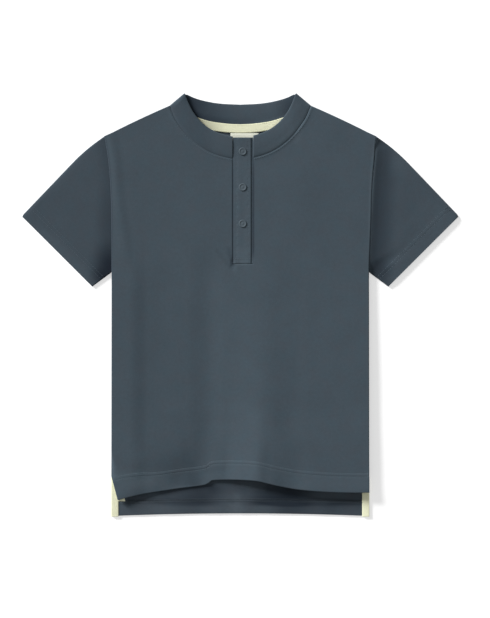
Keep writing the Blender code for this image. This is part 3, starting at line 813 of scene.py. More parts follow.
class Value:
    """A node's socket that Python's operators work on."""

    def __init__(self, nodes, socket):
        self.nodes = nodes
        self.socket = socket

    def _math(self, operation, *others):
        made = self.nodes.node("ShaderNodeMath", {"operation": operation}, *others)
        return Value(self.nodes, made.outputs[0])

    def __add__(self, other):
        return self._math("ADD", self, other)

    def __radd__(self, other):
        return self._math("ADD", other, self)

    def __sub__(self, other):
        return self._math("SUBTRACT", self, other)

    def __rsub__(self, other):
        return self._math("SUBTRACT", other, self)

    def __mul__(self, other):
        return self._math("MULTIPLY", self, other)

    def __truediv__(self, other):
        return self._math("DIVIDE", self, other)

    def part(self):
        """What is left above the whole number."""
        return self._math("FRACT", self)

    def sine(self):
        """Sine of a count of turns."""
        return self._math("SINE", self * (2.0 * math.pi))

    def wave(self):
        """The same, from 0 to 1."""
        return self.sine() * 0.5 + 0.5

    def size(self):
        return self._math("ABSOLUTE", self)

    def at_least(self, limit):
        return self._math("MAXIMUM", self, limit)


class Nodes:
    """A node tree under construction."""

    def __init__(self, tree):
        self.tree = tree

    def node(self, kind, settings=None, *places, **values):
        """Adds a node: its settings first, then its sockets by place or by name."""
        made = self.tree.nodes.new(kind)
        for key, value in (settings or {}).items():
            setattr(made, key, value)
        for index, value in enumerate(places):
            self.put(made.inputs[index], value)
        for key, value in values.items():
            self.put(made.inputs[key.replace("_", " ")], value)
        return made

    def put(self, socket, value):
        """Links a socket, or sets it where the value is a plain one."""
        value = getattr(value, "socket", value)
        if isinstance(value, bpy.types.NodeSocket):
            self.tree.links.new(value, socket)
        else:
            socket.default_value = value

    def value(self, socket):
        return Value(self, socket)


# ---------------------------------------------------------------------------------------------
# Stitches, by Geometry Nodes


class ThreadTree(Nodes):
    """A Geometry Nodes tree with named sizes, that turns a path into thread."""

    def __init__(self, name, **sizes):
        super().__init__(bpy.data.node_groups.new(name, "GeometryNodeTree"))
        face = self.tree.interface
        face.new_socket("Path", in_out="INPUT", socket_type="NodeSocketGeometry")
        self.inputs = {}
        for title, value in sizes.items():
            socket = face.new_socket(title, in_out="INPUT", socket_type="NodeSocketFloat")
            socket.default_value = value
            self.inputs[title] = socket.identifier
        painted = face.new_socket("Material", in_out="INPUT", socket_type="NodeSocketMaterial")
        self.inputs["Material"] = painted.identifier
        face.new_socket("Thread", in_out="OUTPUT", socket_type="NodeSocketGeometry")
        self.given = self.tree.nodes.new("NodeGroupInput").outputs

    def end(self, geometry):
        """Ends the tree: the thread is smooth, and of the given material."""
        smooth = self.node("GeometryNodeSetShadeSmooth", Geometry=geometry)
        painted = self.node(
            "GeometryNodeSetMaterial", Geometry=smooth.outputs["Geometry"], Material=self.given["Material"]
        )
        self.node("NodeGroupOutput", Thread=painted.outputs["Geometry"])
        return self


def stitch_tree():
    """Rows of single stitches: a small rounded bar on each point of the path, along it."""
    made = ThreadTree("Stitches", Pitch=STITCH_PITCH, Length=STITCH_LENGTH, Width=THREAD)
    given = made.given
    curve = made.node("GeometryNodeMeshToCurve", Mesh=given["Path"]).outputs["Curve"]
    points = made.node(
        "GeometryNodeCurveToPoints", {"mode": "LENGTH"}, Curve=curve, Length=given["Pitch"]
    ).outputs
    bar = made.node("GeometryNodeMeshUVSphere", Segments=7, Rings=6, Radius=0.5)
    size = made.node("ShaderNodeCombineXYZ", X=given["Width"], Y=given["Width"], Z=given["Length"])
    turn = made.node("FunctionNodeAlignRotationToVector", {"axis": "Z"}, Vector=points["Tangent"])
    placed = made.node(
        "GeometryNodeInstanceOnPoints",
        Points=points["Points"],
        Instance=bar.outputs["Mesh"],
        Rotation=turn.outputs["Rotation"],
        Scale=size.outputs["Vector"],
    )
    real = made.node("GeometryNodeRealizeInstances", Geometry=placed.outputs["Instances"])
    return made.end(real.outputs["Geometry"])


def looper_tree():
    """The underside of a cover stitch: one thread that swings from side to side of the path."""
    made = ThreadTree("Looper thread", Step=0.36 * MM, Swing=2.1 * MM, Wave=2.9 * MM, Width=THREAD)
    given = made.given
    curve = made.node("GeometryNodeMeshToCurve", Mesh=given["Path"]).outputs["Curve"]
    fine = made.node("GeometryNodeResampleCurve", {"mode": "LENGTH"}, Curve=curve, Length=given["Step"])
    run = made.value(made.node("GeometryNodeSplineParameter").outputs["Length"])
    tangent = made.node("GeometryNodeInputTangent").outputs["Tangent"]
    across = made.node("ShaderNodeVectorMath", {"operation": "CROSS_PRODUCT"}, tangent, (0.0, 0.0, 1.0))
    shift = made.node(
        "ShaderNodeVectorMath",
        {"operation": "SCALE"},
        across.outputs["Vector"],
        Scale=(run / given["Wave"]).sine() * given["Swing"],
    )
    moved = made.node(
        "GeometryNodeSetPosition", Geometry=fine.outputs["Curve"], Offset=shift.outputs["Vector"]
    )
    half = made.value(given["Width"]) * 0.5
    ring = made.node("GeometryNodeCurvePrimitiveCircle", Resolution=5, Radius=half)
    tube = made.node(
        "GeometryNodeCurveToMesh",
        Curve=moved.outputs["Geometry"],
        Profile_Curve=ring.outputs["Curve"],
        Fill_Caps=True,
    )
    return made.end(tube.outputs["Mesh"])


def thread(name, paths, made, material, **sizes):
    """Runs a thread tree along paths, each a line of points, and keeps the plain mesh."""
    mesh = bpy.data.meshes.new(name)
    points, edges = [], []
    for path in paths:
        start = len(points)
        points += path.tolist()
        edges += [(start + step, start + step + 1) for step in range(len(path) - 1)]
    mesh.from_pydata(points, edges, [])
    carrier = link(name + "_path", mesh)
    run = carrier.modifiers.new("Thread", "NODES")
    run.node_group = made.tree
    run[made.inputs["Material"]] = material
    for title, value in sizes.items():
        run[made.inputs[title]] = value
    seen = carrier.evaluated_get(bpy.context.evaluated_depsgraph_get())
    result = bpy.data.meshes.new_from_object(seen)
    bpy.data.objects.remove(carrier)
    return link(name, result)


# ---------------------------------------------------------------------------------------------
# Materials


class Paint(Nodes):
    """A material under construction."""

    def __init__(self, name):
        self.material = bpy.data.materials.new(name)
        self.material.use_nodes = True
        super().__init__(self.material.node_tree)
        self.shader = self.tree.nodes["Principled BSDF"]

    def place(self):
        """Place on the object, in metres."""
        return self.node("ShaderNodeTexCoord").outputs["Object"]

    def cloth(self):
        """Place in the cloth, in metres."""
        place = self.node("ShaderNodeAttribute", {"attribute_name": "cloth"})
        split = self.node("ShaderNodeSeparateXYZ", None, place.outputs["Vector"])
        return place.outputs["Vector"], self.value(split.outputs["X"]), self.value(split.outputs["Y"])

    def painted_shade(self):
        """Painted shade of a place, from 0 to 1, as its shade attribute gives it."""
        return self.value(self.node("ShaderNodeAttribute", {"attribute_name": "shade"}).outputs["Fac"])

    def noise(self, vector, scale, detail=2.0, roughness=0.5):
        made = self.node(
            "ShaderNodeTexNoise", None, Vector=vector, Scale=scale, Detail=detail, Roughness=roughness
        )
        return self.value(made.outputs["Fac"])

    def tint(self, colour, factor):
        """A colour made lighter or darker by a factor."""
        made = self.node("ShaderNodeVectorMath", {"operation": "SCALE"}, colour, Scale=factor)
        return made.outputs["Vector"]

    def blend(self, share, first, second):
        """One colour, and another where the share is 1."""
        made = self.node("ShaderNodeMix", {"data_type": "RGBA"}, share)
        for index, colour in ((6, first), (7, second)):
            self.put(made.inputs[index], (*colour, 1.0) if isinstance(colour, tuple) else colour)
        return made.outputs[2]

    def bump(self, height, distance, strength):
        made = self.node("ShaderNodeBump", None, Strength=strength, Distance=distance, Height=height)
        self.put(self.shader.inputs["Normal"], made.outputs["Normal"])

    def finish(self, **sockets):
        for key, value in sockets.items():
            self.put(self.shader.inputs[key.replace("_", " ")], value)
        return self.material


def jersey(name, colour, purl=False):
    """Fine single jersey: columns of small V loops on its face, short waves on its back."""
    paint = Paint(name)
    place, u, v = paint.cloth()
    across = ((u / WALE).part() - 0.5).size() * 2.0
    if purl:
        loops = (v / COURSE + (u / WALE).wave() * 0.28).wave()
        height = loops * 0.8 + (u / WALE).wave() * 0.2
    else:
        loops = (v / COURSE + across * 0.55).wave()
        height = (1.0 - across * across) * 0.65 + loops * 0.35
    slub = paint.noise(place, 260.0, 3.0, 0.6)
    patch = paint.noise(place, 26.0, 3.0, 0.55)
    speck = paint.noise(place, 900.0, 1.0, 0.5)
    tone = 0.735 + patch * 0.21 + slub * 0.3 + height * 0.07
    # Painted shade from the cloth's shade attribute darkens its colour, red most and blue least; below 0 it
    # is painted light.
    painted_shade = paint.painted_shade()
    fade = paint.node("ShaderNodeCombineXYZ", None, *(1.0 - painted_shade * share for share in FULL_SHADE))
    cool, warm = (tuple(c * turn for c, turn in zip(colour, cast)) for cast in HEATHER)
    hue = paint.blend((paint.noise(place, 70.0, 2.0, 0.5) - 0.5) * 2.0 + 0.5, cool, warm)
    flecked = paint.blend((speck - 0.52).at_least(0.0) * 0.9, hue, tuple(c * 1.55 for c in colour))
    faded = paint.node("ShaderNodeVectorMath", {"operation": "MULTIPLY"}, flecked, fade.outputs["Vector"])
    paint.bump(height + slub * 0.5, 0.16 * MM, 0.32)
    return paint.finish(
        Base_Color=paint.tint(faded.outputs["Vector"], tone),
        Roughness=0.84 + slub * 0.14,
        Specular_IOR_Level=0.22,
        Sheen_Weight=0.16,
        Sheen_Roughness=0.55,
        Sheen_Tint=(0.72, 0.82, 0.92, 1.0),
    )


def herringbone(name, colour, pitch=1.15 * MM, column=4.6 * MM):
    """Cotton tape in a herringbone weave, its slanting ribs turning at each column."""
    paint = Paint(name)
    place, u, v = paint.cloth()
    fold = ((v / column).part() - 0.5).size() * (column / pitch)
    ribs = (u / pitch + fold * 2.0).wave()
    yarn = (v / (0.42 * MM)).wave()
    slub = paint.noise(place, 420.0, 2.0, 0.6)
    height = ribs * 0.7 + yarn * 0.3
    tone = 0.8 + height * 0.16 + slub * 0.12
    # Painted shade from the tape's shade attribute darkens it; below 0 it is painted light.
    tone = tone * (1.0 - paint.painted_shade() * 0.5)
    paint.bump(height, 0.22 * MM, 0.5)
    return paint.finish(
        Base_Color=paint.tint(colour, tone),
        Roughness=0.88 + slub * 0.1,
        Specular_IOR_Level=0.25,
        Sheen_Weight=0.1,
    )


def plain_weave(name, colour, yarn=0.36 * MM):
    """Close plain weave: warp and weft over and under each other."""
    paint = Paint(name)
    place, u, v = paint.cloth()
    warp, weft = (u / yarn).wave(), (v / yarn).wave()
    height = warp * (1.0 - weft) + weft * (1.0 - warp)
    slub = paint.noise(place, 500.0, 2.0, 0.6)
    tone = 0.86 + height * 0.08 + slub * 0.1
    paint.bump(height, 0.1 * MM, 0.4)
    # Painted shade from the shade attribute darkens its colour.
    return paint.finish(
        Base_Color=paint.tint(colour, tone * (1.0 - paint.painted_shade() * 0.5)),
        Roughness=0.8 + slub * 0.12,
        Specular_IOR_Level=0.3,
    )


def spun_thread(name, colour):
    """Twisted sewing thread."""
    paint = Paint(name)
    place = paint.place()
    fleck = paint.noise(place, 1400.0, 1.0, 0.5)
    return paint.finish(
        Base_Color=paint.tint(colour, 0.86 + fleck * 0.28),
        Roughness=0.62 + fleck * 0.2,
        Specular_IOR_Level=0.35,
    )


def moulded(name, colour):
    """Snap cap: hard, matt resin."""
    paint = Paint(name)
    place = paint.place()
    cloud = paint.noise(place, 240.0, 2.0, 0.5)
    fine = paint.noise(place, 2600.0, 1.0, 0.5)
    paint.bump(fine, 0.02 * MM, 0.25)
    return paint.finish(
        Base_Color=paint.tint(colour, 0.9 + cloud * 0.2),
        Roughness=0.6 + cloud * 0.16,
        Specular_IOR_Level=0.3,
    )


FACE = jersey("slate jersey", SLATE)
SLEEVE_FACE = jersey("slate jersey of the sleeves", SLATE_SLEEVE_SHADED)
INSIDE = jersey("inside of the slate jersey", SLATE_INSIDE, purl=True)
THREAD_SLATE = spun_thread("slate thread", SLATE_THREAD)
THREAD_SHADED = spun_thread("slate thread in shade", tuple(THREAD_IN_SHADE * c for c in SLATE_THREAD))
THREAD_CREAM = spun_thread("cream thread", CREAM)
TAPE_CREAM = herringbone("cream herringbone tape", CREAM)
LABEL_WEAVE = plain_weave("cream label weave", LABEL_CREAM)
CAP = moulded("slate snap cap", SNAP_SLATE)


# ---------------------------------------------------------------------------------------------
# Pieces


def ride(piece, slot, *nodes):
    """Says what carries a piece, and which nodes it is shown in place of. Its slot, what it is made of, is
    not used.
    """
    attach(piece, "root")
    if nodes:
        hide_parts(*nodes)
    return piece


def cut_at(line, x, spare=6.0 * MM):
    """The part of a line beyond x, on a line whose x grows."""
    y = np.interp(x, line[:, 0], line[:, 1])
    return np.vstack([[(x, y)], line[line[:, 0] > x + spare]])


def body_outline(hem, neckline, armhole_in=0.0):
    """Body from its hem, left to right, round by the sides to its neckline, right to left.

    Its armholes are cut armhole_in further in.
    """
    right = SIDE[1:].copy()
    right[: len(ARMHOLE), 0] -= armhole_in
    return np.vstack([hem, right[:-1], neckline, mirrored(right)[::-1][1:]])


def front_warp(cut_x, cut_y):
    """Pulls the front's straight-cut hem and its right armhole into the curves in which they lie."""
    hem_pull = ramp(HEM_PULL_END_Y, HEM_PULL_FULL_Y, cut_y)
    return cut_x + armhole_pull(cut_x, cut_y), cut_y + (hem_y(cut_x) - HEM_LINE_Y) * hem_pull


def front():
    """The front panel, its slot cut for the placket."""
    left_top = VENT_TOP_Y - (hem_y(-HALF_CHEST) - HEM_LINE_Y)
    right_top = VENT_TOP_Y - (hem_y(HALF_CHEST) - HEM_LINE_Y)
    hem = np.array(
        [(-HALF_CHEST, left_top), (HEM_LINE[0][0], HEM_LINE_Y)]
        + [(x, HEM_LINE_Y) for x in spaced(-140.0 * MM, 140.0 * MM, 20.0 * MM)]
        + [(HALF_CHEST, HEM_LINE_Y), (HALF_CHEST, right_top)]
    )
    right = cut_at(FRONT_SEAM_LINE, SLOT_X[1])
    left = cut_at(FRONT_SEAM_LINE, -SLOT_X[0])
    slot = [(SLOT_X[1], SLOT_BOTTOM_Y), (SLOT_X[0], SLOT_BOTTOM_Y)]
    outline = body_outline(hem, np.vstack([right[::-1], slot, mirrored(left)]))
    grid_y = np.concatenate(
        [HEM_LINE_Y + FRONT_HEM_GRID, spaced(HEM_LINE_Y + 30.5 * MM, 248.0 * MM, FRONT_GRID[1])]
    )

    def shade(x, y):
        # Painted shade dims the left edges, where the light falls on them, and painted light brightens the
        # right edge up by the armhole.
        at_edge = mm_ramp(2.0, 0.5, from_side(x, y))
        lit_edge = 0.75 * at_edge * mm_ramp(0.0, -2.0, x)
        lit_edge -= 0.3 * at_edge * mm_ramp(150.0, 158.0, x) * mm_ramp(50.0, 110.0, y)
        rows = at_rows(FRONT_HEM_ROWS, y - hem_fold_y(x), ROW_SHADE)
        return front_shade(x, y) + lit_edge + slot_shade(x, y) - 0.28 * rows

    piece = panel(
        "front_cloth",
        outline,
        spaced(-167.0 * MM, 167.0 * MM, FRONT_GRID[0]),
        grid_y,
        front_under,
        front_top,
        shade,
        FACE,
        front_warp,
    )
    ride(piece, "jersey", "front")


def back():
    """The back panel, of which the inside of the hem shows."""
    hem_x = np.linspace(-HALF_CHEST, HALF_CHEST, 17)
    hem = np.column_stack([hem_x, back_hem_y(hem_x)])
    vents = [(-HALF_CHEST, VENT_TOP_Y)], [(HALF_CHEST, VENT_TOP_Y)]
    neckline = np.vstack([BACK_SEAM_LINE[::-1], mirrored(BACK_SEAM_LINE)[1:]])
    outline = body_outline(np.vstack([vents[0], hem, vents[1]]), neckline, TUCK + 0.5 * MM)
    grid_y = np.concatenate(
        [BACK_HEM_Y + BACK_HEM_GRID, spaced(BACK_HEM_Y + 26.0 * MM, 250.0 * MM, BACK_GRID)]
    )

    def over(x, y):
        above_hem = y - back_hem_y(x)
        turned = BACK_HEM_TURN * mm_ramp(17.6, 16.4, above_hem)
        ripple = np.sin(x / (7.0 * MM) + np.sin(x / (19.0 * MM))) * mm_ramp(30.0, 0.0, above_hem)
        return back_under(x, y) + JERSEY + turned + 0.12 * MM * ripple

    def shade(x, y):
        rows = at_rows(BACK_HEM_ROWS, y - back_hem_y(x), ROW_SHADE)
        return np.minimum(fold_and_shade_humps(BACK_TINTS, x, y) / MM + 0.3 * rows, 1.3)

    piece = panel(
        "back_cloth",
        outline,
        spaced(-166.0 * MM, 166.0 * MM, BACK_GRID),
        grid_y,
        back_under,
        over,
        shade,
        INSIDE,
    )
    ride(piece, "jersey", "back")


def sleeve_paths(steps):
    """Both ends of the sleeve's sections: on its upper fold, and on its underarm and armhole.

    Past the underarm and the shoulder's tip they run in under the edge of the front.
    """
    top = np.vstack([[SHOULDER_TIP - TUCK * np.array([2.0, -0.6])], smooth_line(SLEEVE_TOP)])
    rise = armhole(60)
    rise[:, 0] -= TUCK * ramp(UNDERARM[1], UNDERARM[1] + 5.0 * MM, rise[:, 1])
    return at_lengths(top[::-1], steps), at_lengths(np.vstack([[CUFF_CORNER], rise]), steps)


def sleeve(name, side):
    """One sleeve: a flattened tube of sections that lie along its cuff."""
    top = smooth_line(SLEEVE_TOP)
    top_length = lengths_of(top)[-1]
    underarm_length = math.dist(CUFF_CORNER, UNDERARM)
    steps = np.concatenate([CUFF_GRID, spaced(26.5 * MM, top_length, 2.6 * MM), [top_length + 2.0 * TUCK]])
    arc, across, floor_points = 6, 52, 12
    radius = (JERSEY + LAYER_GAP) / 2.0
    low = half = JERSEY / 2.0
    share = np.linspace(0.0, 1.0, across + 2)[1:-1]
    angle = np.linspace(-math.pi / 2.0, math.pi / 2.0, arc)
    sections, cloth_u, cloth_v, painted_shade = [], [], [], []
    for step, start, end in zip(steps, *sleeve_paths(steps)):
        width = math.dist(start, end)
        run = (end - start) / width
        tip = 1.3 * MM * max(0.0, 1.0 - step / (3.5 * MM)) ** 2
        outer_s = half + tip + radius * (1.0 - np.cos(angle))
        inner_s = width - half - radius * (1.0 - np.cos(angle[::-1]))
        turn_z = low + radius * (1.0 + np.sin(angle))
        top_s = between(outer_s[-1], inner_s[0], 1.0 - (1.0 - share) ** 1.5)
        x, y = start[0] + run[0] * top_s, start[1] + run[1] * top_s
        top_z = sleeve_top(x, y, side) - JERSEY / 2.0
        top_z += 0.4 * stitched(SLEEVE_HEM_ROWS, np.full(across, step), top_s)
        top_z += 0.1 * MM * float(mm_ramp(20.4, 18.8, step))
        at_folds = mm_ramp(6.0, 0.0, top_s - outer_s[-1])
        if step < underarm_length:
            at_folds += mm_ramp(9.0, 0.0, inner_s[0] - top_s)
        top_z = between(top_z, turn_z[-1], at_folds)
        floor_s = np.linspace(inner_s[-1], outer_s[0], floor_points + 2)[1:-1]
        s = np.concatenate([outer_s, top_s, inner_s, floor_s])
        z = np.concatenate([turn_z, top_z, turn_z[::-1], np.full(floor_points, low)])
        x, y = start[0] + run[0] * s, start[1] + run[1] * s
        sections.append(np.column_stack([side * x, y, z + REST]))
        cloth_u.append(s)
        cloth_v.append(np.full(len(s), step))
        # The cuff's rows a little darker, and painted shade on the left sleeve beside its upper fold.
        in_rows = 0.1 * at_rows(SLEEVE_HEM_ROWS, step, 0.7 * MM)
        at_fold = mm_ramp(6.0, 1.0, s) * (0.12 if side < 0.0 else 0.0)
        painted_shade.append(sleeve_shade(x, y, side) + in_rows + at_fold)
    order = slice(None) if side > 0.0 else slice(None, None, -1)
    piece = loft(
        name + "_cloth",
        np.array(sections)[:, order],
        np.array(cloth_u)[:, order],
        np.array(cloth_v)[:, order],
        JERSEY,
        0.5 * MM,
        SLEEVE_FACE,
        np.array(painted_shade)[:, order],
        closed=True,
    )
    ride(piece, "jersey", name)
    plan = np.vstack([top, [CUFF_CORNER], armhole()])
    widest = math.dist(*(path[0] for path in sleeve_paths([underarm_length])))


COLLAR_FOLD_RADIUS = (1.4 * MM, 1.9 * MM)  # at the seam and at the free edge
COLLAR_WIDTH = 25.5 * MM
BACK_HALF_BELOW = 3.0 * MM  # height under which the collar shows its inside


def collar_sections():
    """Sections of the band collar, from its right front end round the back to its left one."""
    stations, arc, rows = 80, 8, 11
    across = np.linspace(0.0, 1.0, rows)
    low_level = BAND / 2.0 + REST
    joint, tip = np.array(NECK_JOINT), FRONT_EDGE[-1]
    up = (tip - joint) / np.linalg.norm(tip - joint)
    out = np.array([up[1], -up[0]])
    radius = between(*COLLAR_FOLD_RADIUS, across)
    room = radius.max() + BAND / 2.0 + 0.5 * MM

    def clear_of_fold(low, high):
        return max(np.dot(low - joint, out), np.dot(high - joint, out)) < -room

    def widened(low, high, spare):
        """A section's ends, with the seam's end moved out to meet the body."""
        return low - (high - low) / np.linalg.norm(high - low) * spare, high

    def front_half(end_x, side):
        seam = along(cut_at(FRONT_SEAM_LINE, end_x, 2.0 * MM), stations)
        edge = along(cut_at(FRONT_EDGE_LINE, end_x, 2.0 * MM), stations)
        half = []
        for low, high in zip(seam, edge):
            if not clear_of_fold(low, high):
                continue
            low, high = widened(low, high, 0.5 * MM)
            plan = between(low, high, across[:, None])
            start = float(front_under(side * low[0], low[1])) + BAND / 2.0
            start = between(start, low_level + 2.0 * radius[0], float(mm_ramp(66.0, 84.0, low[0])))
            end = COLLAR_TOP_LIFT + BAND / 2.0
            end = between(end, low_level + 2.0 * radius[-1], float(mm_ramp(16.0, 68.0, high[0])))
            z = between(start, end, across)
            z += 0.5 * MM * np.sin(math.pi * across) - 0.4 * MM * np.exp(-across / 0.04)
            half.append(np.column_stack([side * plan[:, 0], plan[:, 1], z]))
        return half

    def fold(side):
        turn = []
        for angle in np.linspace(math.pi / 2.0, -math.pi / 2.0, arc):
            corner = between(joint, tip, across[:, None])
            plan = corner + out * (radius * (math.cos(angle) - 1.0) - BAND / 2.0)[:, None]
            height = low_level + radius * (1.0 + math.sin(angle))
            turn.append(np.column_stack([side * plan[:, 0], plan[:, 1], height]))
        return turn

    half = []
    for low, high in zip(along(BACK_SEAM_LINE, stations), along(BACK_EDGE_LINE, stations)):
        if not clear_of_fold(low, high):
            continue
        low, high = widened(low, high, 0.4 * MM)
        plan = between(low, high, across[:, None])
        height = low_level + 0.45 * MM * np.sin(math.pi * across) + 0.5 * MM * np.exp(-across / 0.05)
        half.append(np.column_stack([plan, height]))
    back_run = half[::-1] + [mirrored(section) for section in half[1:]]
    right = front_half(SLOT_X[1] - 0.1 * MM, 1.0) + fold(1.0)
    left = front_half(-SLOT_X[0] - 0.1 * MM, -1.0) + fold(-1.0)
    return np.array(right + back_run + left[::-1])


def collar():
    """The band collar, shaded by what shows of its inside and of its outside."""
    sections = collar_sections()
    middle = sections[:, sections.shape[1] // 2]
    run = lengths_of(middle)
    up = np.linspace(0.0, COLLAR_WIDTH, sections.shape[1])
    cloth_u, cloth_v = np.meshgrid(run, up, indexing="ij")
    x, y = sections[:, :, 0], sections[:, :, 1]
    behind = sections[:, :, 2] < BACK_HALF_BELOW
    in_corner = spot(np.abs(x), y, (66.0, 250.0), 30.0, 2.0)
    at_tip = spot(np.abs(x), y, (66.0, 262.0), 15.0, 3.0)
    inside = 0.04 + 0.75 * mm_ramp(8.0, -58.0, x) + (0.35 + 0.35 * (x > 0.0)) * in_corner
    inside += 0.5 * mm_ramp(11.0, 0.0, up) * mm_ramp(30.0, 0.0, x)
    near_seam = mm_ramp(13.0, 0.0, up) * mm_ramp(16.0, 40.0, x)
    outside = 0.28 * mm_ramp(-26.0, -46.0, x) + 0.3 * at_tip - 0.4 * near_seam
    piece = loft(
        "collar_cloth",
        sections,
        cloth_u,
        cloth_v,
        BAND,
        0.7 * MM,
        FACE,
        np.where(behind, inside, outside),
    )
    ride(piece, "jersey", "collar")


def strip(name, sides, under, rows):
    """A pressed placket strip."""
    x = spaced(sides[0], sides[1], 0.7 * MM)
    y = spaced(PLACKET_BOTTOM_Y, PLACKET_TOP_Y, 1.6 * MM)
    grid_y, grid_x = np.meshgrid(y, x, indexing="ij")
    z = under(grid_x, grid_y) + STRIP / 2.0 + strip_relief(grid_x, grid_y, sides, rows)
    shade = front_shade(grid_x, np.minimum(grid_y, FRONT_SEAM[0][1])) + slot_shade(grid_x, grid_y)
    sections = np.stack([grid_x, grid_y, z], axis=-1)
    piece = loft(name + "_cloth", sections, grid_x, grid_y, STRIP, 0.4 * MM, FACE, shade)
    ride(piece, "jersey", name)


def tape_between(
    name,
    lower,
    upper,
    height,
    sag=0.0,
    wave=0.0,
    shade=None,
    thickness=TAPE,
    material=TAPE_CREAM,
    slot="tape",
):
    """A flat tape between two lines that have the same number of points, and its flat size.

    Its edges sag a little, it is a little wavy, and shade gives its shade at each x.
    """
    share = np.linspace(0.0, 1.0, 9)[None, :, None]
    plan = between(lower[:, None], upper[:, None], share)
    run = lengths_of((lower + upper) / 2.0)
    width = float(np.linalg.norm(upper - lower, axis=1).mean())
    cloth_u, cloth_v = np.meshgrid(run, share.ravel() * width, indexing="ij")
    z = height(plan[..., 0], plan[..., 1]) + thickness / 2.0
    z -= sag * (2.0 * share[..., 0] - 1.0) ** 4
    z += wave * np.sin(cloth_u / (5.0 * MM) + 2.0 * np.sin(cloth_u / (17.0 * MM)))
    sections = np.concatenate([plan, z[..., None]], axis=-1)
    painted_shade = None if shade is None else shade(plan[..., 0])
    piece = loft(name + "_cloth", sections, cloth_u, cloth_v, thickness, thickness * 0.35, material, painted_shade)
    ride(piece, slot, name)
    return piece, (run[-1], width)


def level(height):
    """A flat height, as a function of the place."""
    return lambda x, y: np.full(np.shape(x), height)


def under_front(x, y):
    """Just under the front, for a tape sewn to its inside."""
    inside = np.clip(x, 1.4 * MM - HALF_CHEST, HALF_CHEST - 1.4 * MM)
    return front_under(inside, y) - TAPE - 0.15 * MM


def neck_tape_lines():
    """The neck tape's lower and upper edge, from left to right."""
    seam = BACK_SEAM_LINE[BACK_SEAM_LINE[:, 0] < NECK_TAPE_HALF]
    both = np.vstack([mirrored(seam)[:0:-1], seam])
    upper = along(both, 90) + np.array([0.0, 0.5 * MM])
    return upper - np.array([0.0, NECK_TAPE_WIDTH]), upper


def neck_trim():
    """The tape over the back neck seam, in the shade of its left end, and the blank label below it."""

    def shade(x):
        return 0.8 * mm_ramp(-14.0, -46.0, x)

    flat = level(NECK_TAPE_LIFT)
    tape, cut = tape_between("neck_tape", *neck_tape_lines(), flat, 0.15 * MM, 0.05 * MM, shade)
    x = spaced(*LABEL_X, 1.2 * MM)
    upper = np.column_stack([x, np.full(len(x), BACK_SEAM[0][1] - NECK_TAPE_WIDTH + 0.4 * MM)])
    lower = upper - np.array([0.0, LABEL_LENGTH])
    label, cut = tape_between(
        "neck_label",
        lower,
        upper,
        level(NECK_TAPE_LIFT + 0.15 * MM),
        wave=0.04 * MM,
        thickness=LABEL_THICKNESS,
        material=LABEL_WEAVE,
        slot="label",
    )


def vent_trim():
    """The tapes along the side vents, inside the back and inside the front."""

    def shade(x):
        # Painted light: the back's right vent tape is made lighter.
        return -0.3 * (x > 0.0)

    width = np.array([VENT_TAPE_WIDTH, 0.0])
    y = spaced(BACK_HEM_Y - 0.8 * MM, VENT_TAPE_TOP_Y, 1.5 * MM)
    for name, side in (("left", -1.0), ("right", 1.0)):
        outer = np.column_stack([np.full(len(y), side * (HALF_CHEST + 0.2 * MM)), y])
        inner = outer - side * width
        lines = (inner, outer) if side > 0.0 else (outer, inner)
        tape_between(f"vent_tape_back_{name}", *lines, level(VENT_TAPE_LIFT), 0.1 * MM, shade=shade)
    y = spaced(FRONT_HEM[-1][1], VENT_TAPE_TOP_Y, 1.5 * MM)
    outer = np.column_stack([np.full(len(y), HALF_CHEST), y])
    tape_between("vent_tape_front_right", outer - width, outer, under_front)
    corner = np.array([-HALF_CHEST, VENT_TOP_Y])
    down = FRONT_HEM[0] - corner
    reach = np.linalg.norm(down)
    start = (VENT_TOP_Y - VENT_TAPE_TOP_Y) / -down[1] * reach
    outer = corner + down / reach * spaced(start, reach + LEFT_TAPE_SHOWS, 1.5 * MM)[::-1, None]
    tape_between("vent_tape_front_left", outer, outer + width, under_front)


SNAP_PROFILE = np.array(  # radius and height, from the middle of its underside round to that of its top
    (
        (0.0, 0.0), (4.2, 0.0), (4.65, 0.2), (4.8, 0.5), (4.72, 0.78),
        (4.45, 0.98), (4.1, 1.04), (3.75, 1.0), (3.45, 0.88), (3.1, 0.78),
        (2.2, 0.74), (1.5, 0.75), (1.2, 0.8), (0.9, 0.86), (0.0, 0.88),
    )
) * MM


def snap(name, y):
    """A snap cap: turned, with a rolled rim, a shallow dish and a small boss in the middle."""
    cap = bmesh.new()
    points = [cap.verts.new((radius, 0.0, height)) for radius, height in SNAP_PROFILE]
    edges = [cap.edges.new(pair) for pair in zip(points, points[1:])]
    bmesh.ops.spin(
        cap,
        geom=points + edges,
        axis=(0.0, 0.0, 1.0),
        cent=(0.0, 0.0, 0.0),
        angle=2.0 * math.pi,
        steps=48,
        use_merge=True,
    )
    bmesh.ops.remove_doubles(cap, verts=cap.verts[:], dist=0.005 * MM)
    bmesh.ops.recalc_face_normals(cap, faces=cap.faces[:])
    mesh = bpy.data.meshes.new(name + "_cap")
    cap.to_mesh(mesh)
    cap.free()

    def face(at_y):
        under = float(top_strip(SNAP_X, at_y))
        return under + STRIP + float(strip_relief(SNAP_X, at_y, TOP_STRIP_X, ())) - SNAP_SINKS

    below, above = face(y - SNAP_RADIUS), face(y + SNAP_RADIUS)
    slope = (above - below) / (2.0 * SNAP_RADIUS)
    base = max((above + below) / 2.0, face(y))
    tilt = math.atan(slope)
    px, py, pz = points_of(mesh)
    up_strip = py * math.cos(tilt) - pz * math.sin(tilt)
    move_points(mesh, SNAP_X + px, y + up_strip, base + py * math.sin(tilt) + pz * math.cos(tilt))
    ride(link(name + "_cap", mesh, CAP), "snap", name)


